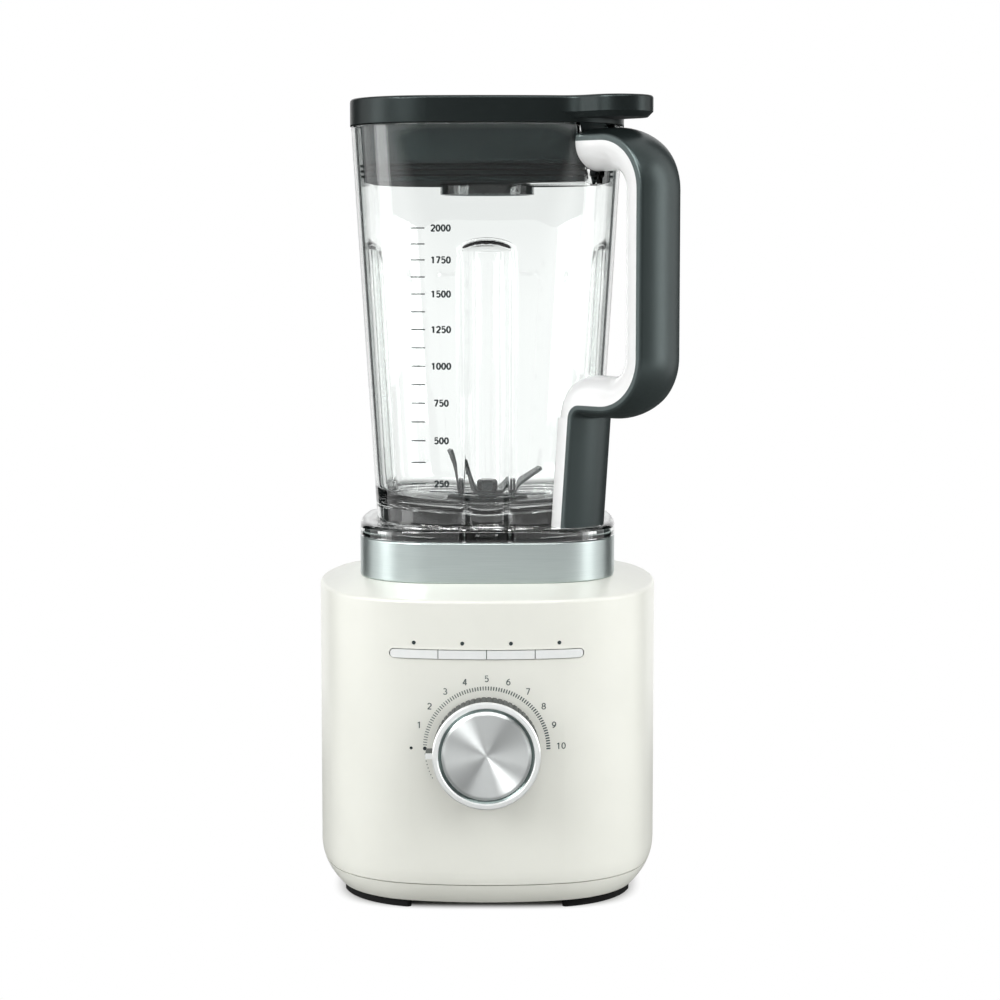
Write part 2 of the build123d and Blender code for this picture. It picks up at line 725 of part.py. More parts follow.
def bracket(bottom, top):
    """A square end plate of the motor with its bearing seat."""
    plate = slab(RectangleRounded(STATOR_SIZE, STATOR_SIZE, STATOR_CORNER), bottom, top)
    return plate - rod(BEARING_RADIUS + SHAFT_FIT, bottom, top) - bolt_holes(bottom, top)


def make_upper_bracket():
    """Upper end plate with four ears under the rubber bushes."""
    bottom = BRACKET_TOP_Z - BRACKET_THICKNESS
    plate = bracket(bottom, BRACKET_TOP_Z)
    arm = Rectangle(2 * BUSH_CIRCLE, 2 * BUSH_RADIUS)
    tips = ring_of(Circle(BUSH_RADIUS), BUSH_CIRCLE, 4)
    ears = slab(arm + Rot(0, 0, 90) * arm + tips, bottom, BRACKET_TOP_Z)
    return plate + (ears - rod(STATOR_BORE, bottom, BRACKET_TOP_Z))


def make_stator():
    """Laminated stator with two poles and room for the field coils."""
    window = Circle(STATOR_WINDOW) & Rectangle(2 * POLE_OFFSET, STATOR_SIZE)
    face = RectangleRounded(STATOR_SIZE, STATOR_SIZE, STATOR_CORNER)
    core = slab(face - window - Circle(STATOR_BORE), STATOR_Z, STATOR_TOP_Z)
    return core - bolt_holes(STATOR_Z, STATOR_TOP_Z)


def make_field_coil(side):
    """Saddle coil round one pole, on the right for side 1 and the left for side -1."""
    ring = Circle(STATOR_WINDOW - SEAT_GAP) - Circle(STATOR_BORE + SLIDE_GAP)
    beside = Pos(COIL_START, 0) * Rectangle(SPAN, SPAN, align=(Align.MIN, Align.CENTER))
    width = POLE_OFFSET - SEAT_GAP - COIL_START
    legs = Pos(COIL_START, 0) * Rectangle(width, SPAN, align=(Align.MIN, Align.CENTER))
    low = STATOR_Z - COIL_END_TURN
    high = STATOR_TOP_Z + COIL_END_TURN
    coil = slab(ring & legs, low, high)
    coil += slab(ring & beside, low, STATOR_Z - SEAT_GAP)
    coil += slab(ring & beside, STATOR_TOP_Z + SEAT_GAP, high)
    return coil if side > 0 else mirror(coil, Plane.YZ)


def make_motor_bolts():
    """Four long bolts that clamp the brackets to the stator."""
    bolts = []
    for x, y in corners(BOLT_OFFSET, BOLT_OFFSET):
        bolt = rod(BOLT_RADIUS, LOW_BRACKET_Z, BRACKET_TOP_Z, x, y)
        head_z = LOW_BRACKET_Z - SCREW_HEAD_HEIGHT
        bolts.append(bolt + rod(SCREW_HEAD_RADIUS, head_z, LOW_BRACKET_Z, x, y))
    return Compound(children=[bolt.solid() for bolt in bolts])


def make_bearing(radius, bore, bottom, width):
    """A ball bearing as one ring with a groove in each face."""
    ring = tube(radius, bore + SHAFT_FIT, bottom, bottom + width)
    step = (radius - bore) * RACE_SHARE
    depth = width * SHIELD_SHARE
    groove = tube(radius - step, bore + step, 0, depth)
    return ring - Pos(0, 0, bottom) * groove - Pos(0, 0, bottom + width - depth) * groove


def make_brush_box(side):
    """Insulated box on the lower bracket that guides one carbon brush."""
    middle_z = (COMMUTATOR_Z + COMMUTATOR_TOP_Z) / 2
    start = COMMUTATOR_RADIUS + 2 * BRUSH_BOX_WALL
    place = Pos(side * start, 0)
    align = (Align.MIN if side > 0 else Align.MAX, Align.CENTER)
    width = BRUSH_WIDTH + 2 * BRUSH_BOX_WALL
    top = middle_z + BRUSH_HEIGHT / 2 + BRUSH_BOX_WALL
    box = slab(place * Rectangle(BRUSH_LENGTH, width, align=align), LOW_BRACKET_TOP_Z, top)
    slot = place * Rectangle(BRUSH_LENGTH, BRUSH_WIDTH + 2 * SEAT_GAP, align=align)
    half = BRUSH_HEIGHT / 2 + SEAT_GAP
    return box - slab(slot, middle_z - half, middle_z + half)


def make_brush(side):
    """Carbon brush that bears on the commutator."""
    middle_z = (COMMUTATOR_Z + COMMUTATOR_TOP_Z) / 2
    place = Pos(side * (COMMUTATOR_RADIUS + SLIDE_GAP), 0)
    align = (Align.MIN if side > 0 else Align.MAX, Align.CENTER)
    face = place * Rectangle(BRUSH_LENGTH, BRUSH_WIDTH, align=align)
    return slab(face, middle_z - BRUSH_HEIGHT / 2, middle_z + BRUSH_HEIGHT / 2)


def make_motor_shaft():
    """Motor shaft from below the fan up into the drive coupler's hub."""
    return rod(SHAFT_RADIUS, FAN_Z - END_SPACE, SOCKET_Z - END_SPACE / 2)


def armature_slots(grow):
    """The armature's winding slots seen from above."""
    radius = STATOR_BORE - ARMATURE_GAP
    middle = radius - ARMATURE_SLOT_DEPTH / 2
    slot = Rectangle(ARMATURE_SLOT_DEPTH + 2 * grow, ARMATURE_SLOT_WIDTH + 2 * grow)
    return ring_of(slot, middle, ARMATURE_SLOTS)


def make_armature_core():
    """Slotted armature stack on the motor shaft."""
    face = Circle(STATOR_BORE - ARMATURE_GAP) - armature_slots(0)
    return slab(face - Circle(SHAFT_RADIUS + SHAFT_FIT), STATOR_Z, STATOR_TOP_Z)


def make_armature_winding():
    """Winding that fills the slots and turns over both ends of the armature."""
    bars = armature_slots(-2 * SEAT_GAP) & Circle(WINDING_RADIUS)
    low = STATOR_Z - WINDING_END + SEAT_GAP
    high = STATOR_TOP_Z + WINDING_END
    winding = slab(bars, low, high)
    bore = SHAFT_RADIUS + END_SPACE
    winding += tube(WINDING_RADIUS, bore, low, STATOR_Z - SEAT_GAP)
    return winding + tube(WINDING_RADIUS, bore, STATOR_TOP_Z + SEAT_GAP, high)


def make_commutator():
    """Copper commutator under the armature, with its segments cut apart."""
    gap = Rectangle(2 * SEGMENT_GAP_DEPTH, SEGMENT_GAP)
    gaps = ring_of(gap, COMMUTATOR_RADIUS, 2 * ARMATURE_SLOTS)
    face = Circle(COMMUTATOR_RADIUS) - gaps - Circle(SHAFT_RADIUS + SHAFT_FIT)
    return slab(face, COMMUTATOR_Z, COMMUTATOR_TOP_Z)


def make_fan():
    """Radial fan under the motor that draws air through the vents."""
    fan = rod(FAN_RADIUS, FAN_TOP_Z - FAN_PLATE, FAN_TOP_Z)
    hub = 2 * SHAFT_RADIUS
    fan += rod(hub, FAN_Z, FAN_TOP_Z)
    length = FAN_RADIUS - hub
    blade = Rot(0, 0, FAN_BLADE_ANGLE) * Rectangle(length, FAN_BLADE_WALL)
    blades = ring_of(blade, (FAN_RADIUS + hub) / 2, FAN_BLADES)
    fan += slab(blades & Circle(FAN_RADIUS), FAN_Z, FAN_TOP_Z - FAN_PLATE)
    return fan - rod(SHAFT_RADIUS + SHAFT_FIT, FAN_Z, FAN_TOP_Z)


def coupler_face(grow):
    """The splined section that carries the drive."""
    reach = COUPLER_TOOTH_REACH + grow
    tooth = Rectangle(reach, COUPLER_TOOTH_WIDTH + 2 * grow, align=(Align.MIN, Align.CENTER))
    return Circle(COUPLER_CORE_RADIUS + grow) + ring_of(tooth, 0, COUPLER_TEETH)


def make_drive_coupler():
    """Socket on top of the motor shaft that the jar's coupler drops into."""
    cup_z = SOCKET_Z - COUPLER_FLOOR
    coupler = rod(COUPLER_RADIUS, cup_z, SOCKET_TOP_Z)
    coupler += rod(COUPLER_HUB_RADIUS, cup_z - COUPLER_HUB_DROP, cup_z)
    coupler -= slab(coupler_face(SLIDE_GAP), SOCKET_Z, SOCKET_TOP_Z)
    bore_top = SOCKET_Z - END_SPACE / 2 + SEAT_GAP
    return coupler - rod(SHAFT_RADIUS + SHAFT_FIT, cup_z - COUPLER_HUB_DROP, bore_top)


def make_driven_coupler():
    """Splined nose under the jar that enters the drive coupler."""
    nose = slab(coupler_face(0), SOCKET_Z + SLIDE_GAP, NECK_Z - SLIDE_GAP)
    return nose - rod(UNIT_SHAFT_RADIUS + SHAFT_FIT, SOCKET_Z, NECK_Z)


def jar_half(z):
    """Half the jar's outer width at a height."""
    share = (z - FLANGE_TOP_Z) / (RIM_Z - FLANGE_TOP_Z)
    return (JAR_BASE_WIDTH + share * (JAR_RIM_WIDTH - JAR_BASE_WIDTH)) / 2


def jar_plan(z, inset):
    """The jar's outline at a height, drawn in by inset."""
    half = jar_half(z) - inset
    return Pos(0, 0, z) * outline(half, half, JAR_BOW - inset, JAR_CORNER - inset)


def jar_form(inset, bottom, top):
    """The jar's tapered form between two heights, drawn in by inset."""
    return loft([jar_plan(bottom, inset), jar_plan(top, inset)], ruled=True)


def jar_corner(z):
    """Distance from the axis to the jar's outer corner at a height."""
    half = jar_half(z)
    return corner_centre(half, half, JAR_BOW, JAR_CORNER).length + JAR_CORNER


def flutes(grow):
    """Four round-topped flutes that lean with the jar's walls."""
    lean = (JAR_RIM_WIDTH - JAR_BASE_WIDTH) / 2 / (RIM_Z - FLANGE_TOP_Z)
    half_width = math.sqrt(FLUTE_RADIUS**2 - (FLUTE_RADIUS - FLUTE_DEPTH) ** 2)
    top_z = RIM_Z - FLUTE_TOP_DROP - half_width
    out = jar_half(top_z) + FLUTE_RADIUS - FLUTE_DEPTH
    radius = FLUTE_RADIUS + grow
    flute = Cylinder(radius, JAR_HEIGHT, align=(Align.CENTER, Align.CENTER, Align.MAX))
    flute += Sphere(radius)
    flute = Pos(out, 0, top_z) * Rot(0, math.degrees(math.atan(lean)), 0) * flute
    return [Rot(0, 0, quarter * 90) * flute for quarter in range(4)]


def spout(inset):
    """Pouring lip that swells out of the corner opposite the handle."""
    low_z = RIM_Z - SPOUT_HEIGHT
    tip = Circle(SPOUT_ROOT_RADIUS - inset / 2)
    low = Pos(jar_corner(low_z) - SPOUT_RADIUS / 2, 0, low_z) * tip
    rim = Pos(jar_corner(RIM_Z) + SPOUT_REACH - SPOUT_RADIUS, 0, RIM_Z)
    lip = loft([low, rim * Circle(SPOUT_RADIUS - inset)], ruled=True)
    return Rot(0, 0, HANDLE_AZIMUTH + 180) * lip


def floor_below(drop):
    """All space under the jar's dished floor, lowered by drop."""
    slope = FLOOR_DISH / (FLOOR_EDGE_RADIUS - FLOOR_FLAT_RADIUS)
    edge = JAR_RIM_WIDTH
    edge_z = FLOOR_Z - drop + slope * (edge - FLOOR_FLAT_RADIUS)
    return spun([
        (0, DECK_Z),
        (edge, DECK_Z),
        (edge, edge_z),
        (FLOOR_FLAT_RADIUS, FLOOR_Z - drop),
        (0, FLOOR_Z - drop),
    ])


def make_jar():
    """Clear fluted jar with a dished floor, a flange on the collar and a skirt inside it."""
    skirt_z = FLANGE_Z - SKIRT_DEPTH
    skirt_inset = COLLAR_WALL + SLIDE_GAP
    wall = jar_form(0, FLANGE_TOP_Z, RIM_Z)
    inside = jar_form(JAR_WALL, FLANGE_TOP_Z, RIM_Z) - floor_below(0)
    under = slab(collar_plan(skirt_inset + SKIRT_WALL), skirt_z, FLANGE_TOP_Z + FLOOR_DISH)
    under = (under & floor_below(FLOOR_THICKNESS)) & jar_form(JAR_WALL, skirt_z, RIM_Z)
    for groove in flutes(0):
        wall -= groove
    for bump in flutes(JAR_WALL):
        inside -= bump
        under -= bump
    foot = slab(collar_plan(0), FLANGE_Z, FLANGE_TOP_Z)
    foot = fillet(foot.edges().group_by(Axis.Z)[-1], FLANGE_EDGE)
    foot += slab(collar_plan(skirt_inset), skirt_z, FLANGE_Z)
    jar = wall + spout(0) + foot - inside - spout(JAR_WALL) - under
    return jar - rod(UNIT_NECK_RADIUS + SEAT_GAP, skirt_z, UNIT_Z)


def handle_path():
    """The grip's seat: out from the rim, down the upright, back to the jar and down its corner."""
    top_z = RIM_Z - HANDLE_DROP
    low_z = top_z - HANDLE_SPAN
    foot_z = FLANGE_TOP_Z + SEAT_GAP
    return FilletPolyline(
        (jar_corner(top_z) - STRIP_STANDOFF, 0, top_z),
        (HANDLE_REACH, 0, top_z),
        (HANDLE_REACH, 0, low_z),
        (jar_corner(low_z) + STRIP_STANDOFF, 0, low_z),
        (jar_corner(foot_z) + STRIP_STANDOFF, 0, foot_z),
        radius=(HANDLE_BEND, HANDLE_BEND, HANDLE_ELBOW),
    )


def grip_face():
    """The grip's section: square sides, rounded shoulders and a crowned back."""
    half = HANDLE_WIDTH / 2
    sides = Polyline((-half, GRIP_SIDE), (-half, 0), (half, 0), (half, GRIP_SIDE))
    crown = ThreePointArc((half, GRIP_SIDE), (0, GRIP_SIDE + GRIP_CROWN), (-half, GRIP_SIDE))
    face = make_face(sides + crown)
    shoulders = face.vertices().filter_by(lambda v: abs(v.Y - GRIP_SIDE) < SEAT_GAP)
    return fillet(shoulders, GRIP_EDGE)


def core_face():
    """The clear core's half-round section on the finger side."""
    half = HANDLE_WIDTH / 2
    return make_face(
        ThreePointArc((-half, 0), (0, -half), (half, 0)) + Line((half, 0), (-half, 0))
    )


def along_handle(face):
    """A section, drawn with its back up, carried along the handle's path."""
    path = handle_path()
    plane = Plane(path @ 0, x_dir=(0, 1, 0), z_dir=path % 0)
    return sweep(plane * face, path)


def make_handle_grip():
    """Dark grip over the handle's back that runs down the jar's corner."""
    grip = along_handle(grip_face()) & band(FLANGE_TOP_Z + SEAT_GAP, RIM_Z)
    return Rot(0, 0, HANDLE_AZIMUTH) * grip - jar_form(-SEAT_GAP, FLANGE_TOP_Z, RIM_Z)


def make_jar_handle(grip):
    """Clear half-round core of the handle, rooted on the jar's corner."""
    path = handle_path()
    lower = path @ 1
    upper = path.vertices().sort_by(Axis.X)[1]
    inner = jar_corner(FLANGE_TOP_Z) - JAR_WALL
    boss_face = make_face(
        Polyline(
            (inner, lower.Z), (lower.X, lower.Z), (upper.X, upper.Z), (inner, upper.Z), close=True
        )
    )
    boss = through(boss_face, -HANDLE_WIDTH / 2, HANDLE_WIDTH / 2)
    core = along_handle(core_face()) & band(FLANGE_TOP_Z + SEAT_GAP, RIM_Z)
    core = Rot(0, 0, HANDLE_AZIMUTH) * (core + boss)
    return core - jar_form(0, FLANGE_TOP_Z, RIM_Z) - grip


def make_blade_gasket():
    """Sealing ring between the jar's floor and the blade unit's flange."""
    return tube(UNIT_FLANGE_RADIUS, UNIT_NECK_RADIUS + SEAT_GAP, FLOOR_Z, UNIT_Z)


def make_blade_housing():
    """Body of the blade unit: flange in the jar, neck through the floor."""
    body = rod(UNIT_FLANGE_RADIUS, UNIT_Z, UNIT_TOP_Z)
    body = chamfer(body.edges().group_by(Axis.Z)[-1], UNIT_FLANGE / 2)
    body += rod(UNIT_NECK_RADIUS, NECK_Z, UNIT_Z)
    body -= rod(UNIT_BEARING_RADIUS + SHAFT_FIT, NECK_Z, NECK_Z + 2 * UNIT_BEARING_WIDTH)
    seal_z = UNIT_TOP_Z - SEAL_HEIGHT
    body -= rod(SEAL_RADIUS + SHAFT_FIT, seal_z, UNIT_TOP_Z)
    return body - rod(UNIT_SHAFT_RADIUS + SLIDE_GAP, NECK_Z, UNIT_TOP_Z)


def make_clamp_nut():
    """Ribbed nut under the floor that clamps the blade unit to the jar."""
    top = FLOOR_Z - FLOOR_THICKNESS
    flats = ring_of(Circle(CLAMP_NUT_FLUTE), CLAMP_NUT_RADIUS, CLAMP_NUT_FLUTES)
    face = Circle(CLAMP_NUT_RADIUS) - flats - Circle(UNIT_NECK_RADIUS + SEAT_GAP)
    return slab(face, top - CLAMP_NUT_HEIGHT, top)


def make_shaft_seal():
    """Lip seal round the blade shaft under the blades."""
    bottom = UNIT_TOP_Z - SEAL_HEIGHT
    return tube(SEAL_RADIUS, UNIT_SHAFT_RADIUS + SHAFT_FIT, bottom, UNIT_TOP_Z)


def make_blade_shaft():
    """Blade shaft with the shoulder that the blades are clamped on."""
    bottom = SOCKET_Z + 2 * SLIDE_GAP
    top = BLADE_Z + 2 * BLADE_THICKNESS + BLADE_NUT_HEIGHT / 2
    return rod(UNIT_SHAFT_RADIUS, bottom, top) + rod(SHOULDER_RADIUS, SHOULDER_Z, BLADE_Z)


def blade_sheet(left_reach, left_rise, right_reach, right_rise):
    """A bent strip with two tapering wings, lying on height zero."""
    middle = BLADE_THICKNESS / 2
    line = FilletPolyline(
        (-left_reach, middle + left_rise),
        (-BLADE_FLAT, middle),
        (BLADE_FLAT, middle),
        (right_reach, middle + right_rise),
        radius=BLADE_BEND,
    )
    sheet = through(trace(line, BLADE_THICKNESS), -BLADE_WIDTH / 2, BLADE_WIDTH / 2)
    wide = BLADE_WIDTH / 2
    tip = BLADE_TIP_WIDTH / 2
    plan = Polyline(
        (-left_reach - middle, -wide),
        (BLADE_FLAT, -wide),
        (right_reach + middle, wide - 2 * tip),
        (right_reach + middle, wide),
        (-BLADE_FLAT, wide),
        (-left_reach - middle, 2 * tip - wide),
        close=True,
    )
    sheet &= slab(make_face(plan), -left_rise - wide, left_rise + right_rise + wide)
    return sheet - rod(UNIT_SHAFT_RADIUS + SHAFT_FIT, -wide, wide)


def make_lower_blade():
    """Lower blade with two nearly level wings."""
    sheet = blade_sheet(LOW_TIP_REACH, LOW_TIP_RISE, LOW_TIP_REACH, LOW_TIP_RISE)
    return Pos(0, 0, BLADE_Z) * Rot(0, 0, LOW_BLADE_TURN) * sheet


def make_upper_blade():
    """Upper blade with one steep wing and one slanted wing."""
    sheet = blade_sheet(STEEP_TIP_REACH, STEEP_TIP_RISE, SLANT_TIP_REACH, SLANT_TIP_RISE)
    return Pos(0, 0, BLADE_Z + BLADE_THICKNESS) * Rot(0, 0, HIGH_BLADE_TURN) * sheet


def make_blade_nut():
    """Domed nut on top of the blades."""
    bottom = BLADE_Z + 2 * BLADE_THICKNESS
    nut = slab(RegularPolygon(BLADE_NUT_RADIUS, 6), bottom, bottom + BLADE_NUT_HEIGHT)
    nut = chamfer(nut.edges().group_by(Axis.Z)[-1], BLADE_NUT_BEVEL)
    bore_top = bottom + BLADE_NUT_HEIGHT / 2 + SEAT_GAP
    return nut - rod(UNIT_SHAFT_RADIUS + SHAFT_FIT, bottom, bore_top)


def lid_plan(inset):
    """The lid seen from above, drawn in by inset."""
    half = LID_WIDTH / 2 - inset
    return outline(half, half, JAR_BOW - inset, JAR_CORNER - inset)


def tab_plan():
    """The lid's outline with its thumb tab over the handle and its cover over the spout."""
    half = TAB_WIDTH / 2
    straight = TAB_REACH - half
    tongue = Pos(straight / 2, 0) * Rectangle(straight, TAB_WIDTH) + Pos(straight, 0) * Circle(half)
    plan = Rot(0, 0, -HANDLE_AZIMUTH) * lid_plan(0) + tongue
    roots = plan.vertices().filter_by(
        lambda v: abs(abs(v.Y) - half) < SEAT_GAP and 0 < v.X < straight - half / 2
    )
    plan = fillet(roots, TAB_BLEND)
    lip = Pos(-jar_corner(RIM_Z) - SPOUT_REACH + SPOUT_RADIUS, 0) * Circle(SPOUT_RADIUS + LID_EDGE)
    return Rot(0, 0, HANDLE_AZIMUTH) * (plan + lip)


def make_lid_cover():
    """Lid with its thumb tab, hollow below, with a seat for the fill cap."""
    tab_z = LID_TOP_Z - TAB_THICKNESS
    plate = slab(tab_plan(), tab_z, LID_TOP_Z)
    plate = chamfer(plate.edges().group_by(Axis.Z)[0], TAB_BEVEL)
    lid = plate + slab(lid_plan(0), LID_Z, LID_TOP_Z)
    lid = fillet(lid.edges().group_by(Axis.Z)[-1], LID_EDGE)
    hollow = slab(lid_plan(LID_WALL), LID_Z, LID_TOP_Z - LID_ROOF)
    seat_radius = FILL_RIM_RADIUS + SLIDE_GAP
    lid -= hollow - rod(seat_radius + LID_WALL, LID_Z, LID_TOP_Z)
    lid -= rod(FILL_RADIUS + SLIDE_GAP, LID_Z, LID_TOP_Z)
    return lid - rod(seat_radius, LID_TOP_Z - FILL_RIM_THICKNESS - SEAT_GAP, LID_TOP_Z)


def make_lid_plug():
    """Hollow plug under the lid, with the fill cap's chute and a groove for the seal."""
    bottom = RIM_Z - PLUG_DEPTH
    inset = JAR_WALL + PLUG_GAP
    plug = jar_form(inset, bottom, LID_Z)
    plug = fillet(plug.edges().group_by(Axis.Z)[0], PLUG_EDGE)
    inner = slab(lid_plan(LID_WALL + SEAT_GAP), LID_Z, LID_Z + PLUG_WALL)
    plug += inner
    hollow = jar_form(inset + PLUG_WALL + SEAL_GROOVE, bottom + PLUG_WALL, LID_Z + PLUG_WALL)
    chute = FILL_RADIUS + SLIDE_GAP
    plug -= hollow - rod(chute + PLUG_WALL, bottom, LID_Z - SEAT_GAP)
    groove_z, groove_top = seal_heights()
    groove = jar_form(0, groove_z, groove_top) - jar_form(inset + SEAL_GROOVE, groove_z, groove_top)
    return plug - groove - rod(chute, bottom, LID_Z + PLUG_WALL)


def seal_heights():
    """Lower and upper end of the lid seal."""
    bottom = RIM_Z - PLUG_DEPTH + SEAL_RISE
    return bottom, bottom + SEAL_LIPS * SEAL_LIP_PITCH


def make_lid_seal():
    """Rubber ring in the plug's groove with thin lips that meet the jar."""
    bottom, top = seal_heights()
    inset = JAR_WALL + PLUG_GAP
    low = bottom + SEAT_GAP
    high = top - SEAT_GAP
    root = inset + SEAL_GROOVE - SEAT_GAP
    seal = jar_form(inset, low, high)
    for lip in range(SEAL_LIPS):
        lip_z = low + lip * SEAL_LIP_PITCH
        reach = jar_half(lip_z) - JAR_WALL - SLIDE_GAP
        inset_face = outline(
            reach, reach, JAR_BOW - JAR_WALL - SLIDE_GAP, JAR_CORNER - JAR_WALL - SLIDE_GAP
        )
        seal += slab(inset_face, lip_z, lip_z + SEAL_LIP_THICKNESS)
    return seal - jar_form(root, bottom, top)


def make_fill_cap():
    """Clear measuring cap: rim flush with the lid, cup open downwards."""
    rim_z = LID_TOP_Z - FILL_RIM_THICKNESS
    bottom = LID_TOP_Z - FILL_DEPTH
    cap = rod(FILL_RIM_RADIUS, rim_z, LID_TOP_Z)
    cap = fillet(cap.edges().group_by(Axis.Z)[-1], LID_EDGE)
    cap += rod(FILL_RADIUS, bottom, rim_z)
    return cap - rod(FILL_RADIUS - FILL_WALL, bottom, LID_TOP_Z - FILL_SEAT)


def make_pieces():
    """Every piece by its name."""
    pieces = {
        "housing": make_housing(),
        "bottom_cover": make_bottom_cover(),
        "cover_screws": make_cover_screws(),
        "collar": make_collar(),
        "jar_pad": make_jar_pad(),
        "cord_gland": make_cord_gland(),
        "dial_skirt": make_dial_skirt(),
        "dial_ring": make_dial_ring(),
        "dial_cap": make_dial_cap(),
        "dial_spindle": make_dial_spindle(),
        "button_switches": make_button_switches(),
        "indicator_lights": make_indicator_lights(),
        "control_board": make_control_board(),
        "speed_encoder": make_speed_encoder(),
        "power_board": make_power_board(),
        "motor_bushes": make_motor_bushes(),
        "motor_upper_bracket": make_upper_bracket(),
        "motor_lower_bracket": bracket(LOW_BRACKET_Z, LOW_BRACKET_TOP_Z),
        "stator": make_stator(),
        "motor_bolts": make_motor_bolts(),
        "motor_shaft": make_motor_shaft(),
        "armature_core": make_armature_core(),
        "armature_winding": make_armature_winding(),
        "commutator": make_commutator(),
        "cooling_fan": make_fan(),
        "drive_coupler": make_drive_coupler(),
        "driven_coupler": make_driven_coupler(),
        "jar": make_jar(),
        "handle_grip": make_handle_grip(),
        "blade_gasket": make_blade_gasket(),
        "blade_housing": make_blade_housing(),
        "clamp_nut": make_clamp_nut(),
        "shaft_seal": make_shaft_seal(),
        "blade_shaft": make_blade_shaft(),
        "lower_blade": make_lower_blade(),
        "upper_blade": make_upper_blade(),
        "blade_nut": make_blade_nut(),
        "lid_cover": make_lid_cover(),
        "lid_plug": make_lid_plug(),
        "lid_seal": make_lid_seal(),
        "fill_cap": make_fill_cap(),
    }
    pieces["jar_handle"] = make_jar_handle(pieces["handle_grip"])
    foot = make_foot()
    for left in (False, True):
        for rear in (False, True):
            corner = f"{'rear' if rear else 'front'}_{'left' if left else 'right'}"
            pieces[f"foot_{corner}"] = at_corner(foot, left, rear)
    for word, place in zip(("first", "second", "third", "fourth"), button_places()):
        pieces[f"{word}_button"] = make_button(place)
    for word, side in (("right", 1), ("left", -1)):
        pieces[f"field_coil_{word}"] = make_field_coil(side)
        pieces[f"brush_box_{word}"] = make_brush_box(side)
        pieces[f"carbon_brush_{word}"] = make_brush(side)
    seat = (BRACKET_THICKNESS - BEARING_WIDTH) / 2
    motor_bearings = (
        ("upper", BRACKET_TOP_Z - seat - BEARING_WIDTH),
        ("lower", LOW_BRACKET_Z + seat),
    )
    for word, bottom in motor_bearings:
        pieces[f"motor_bearing_{word}"] = make_bearing(
            BEARING_RADIUS, SHAFT_RADIUS, bottom, BEARING_WIDTH
        )
    for word, level in (("lower", 0), ("upper", 1)):
        pieces[f"blade_bearing_{word}"] = make_bearing(
            UNIT_BEARING_RADIUS,
            UNIT_SHAFT_RADIUS,
            NECK_Z + level * UNIT_BEARING_WIDTH,
            UNIT_BEARING_WIDTH,
        )
    return pieces


os.makedirs("parts", exist_ok=True)
for name, piece in make_pieces().items():
    export_step(piece, f"parts/{name}.step")
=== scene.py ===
# %% [markdown]
# # A countertop blender, dressed for a studio picture
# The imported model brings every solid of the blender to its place, in metres. This lesson
# gives each one a finish, and replaces the few whose real surface is finer than the solid. All
# of it could be modelled by hand, but written down it can be measured and run again.

# %% Load the frame
import math

import bpy
import numpy as np
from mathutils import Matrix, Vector


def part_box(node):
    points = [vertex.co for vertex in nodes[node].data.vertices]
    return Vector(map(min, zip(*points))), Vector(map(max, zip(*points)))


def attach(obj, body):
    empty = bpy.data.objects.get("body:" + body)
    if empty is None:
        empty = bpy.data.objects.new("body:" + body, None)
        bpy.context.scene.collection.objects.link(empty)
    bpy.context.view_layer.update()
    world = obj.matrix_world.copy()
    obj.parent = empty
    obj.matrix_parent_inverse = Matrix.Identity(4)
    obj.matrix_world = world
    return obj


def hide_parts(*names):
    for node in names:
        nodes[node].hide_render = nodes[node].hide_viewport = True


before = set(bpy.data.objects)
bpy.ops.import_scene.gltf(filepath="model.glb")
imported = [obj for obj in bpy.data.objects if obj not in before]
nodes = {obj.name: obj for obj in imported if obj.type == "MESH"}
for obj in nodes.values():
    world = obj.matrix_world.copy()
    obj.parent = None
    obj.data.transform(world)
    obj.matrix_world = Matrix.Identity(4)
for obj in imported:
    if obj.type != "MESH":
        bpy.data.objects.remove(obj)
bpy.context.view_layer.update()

# %% [markdown]
# ## Sizes
# The drawing sizes are written in millimetres, as a maker would give them, and turned to
# metres once. Heights that the solids already have are read from their boxes, so that a changed
# model.glb moves the dressing along with it.

# %% Sizes shared by several pieces
MM = 0.001
BASE_HALF_X = 90.0 * MM
BASE_HALF_Y = 96.5 * MM
BASE_BOW = 175.0 * MM
DIAL_Z = 85.1 * MM
INK = 0.04 * MM

RIM_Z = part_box("jar")[1].z
FLANGE_TOP_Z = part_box("handle_grip")[0].z
JAR_BOW = 400.0 * MM
JAR_BASE_HALF = 59.0 * MM
JAR_RIM_HALF = 72.0 * MM


def jar_half(z):
    """Half the jar's outer width: straight taper from the foot to the rim."""
    share = (z - FLANGE_TOP_Z) / (RIM_Z - FLANGE_TOP_Z)
    return JAR_BASE_HALF + share * (JAR_RIM_HALF - JAR_BASE_HALF)


def base_front(x, z):
    """Y of the base's bowed front wall: a circle of the bow's radius."""
    return -(np.sqrt(BASE_BOW**2 - x**2) + BASE_HALF_Y - BASE_BOW) + 0 * z


def jar_front(x, z):
    """Y of the jar's front wall: the same kind of circle, whose place follows the taper."""
    return -(np.sqrt(JAR_BOW**2 - x**2) + jar_half(z) - JAR_BOW)


print("jar from", round(FLANGE_TOP_Z / MM, 1), "to", round(RIM_Z / MM, 1), "mm over the table")

# %% [markdown]
# ## Camera
# A long lens, with its eye a little below the lid and tipped down by a few degrees, as the
# edges in the picture ask for. The place could be found by trial, but it was worked out from
# those edges. The lens is given for a square image on a 36 mm sensor.

# %% Camera
LENS_MM = 90.58
SENSOR_MM = 36.0
CAMERA_PLACE = Vector((6.79, -1353.5, 337.25)) * MM
CAMERA_TIP = math.radians(90 - 5.678)

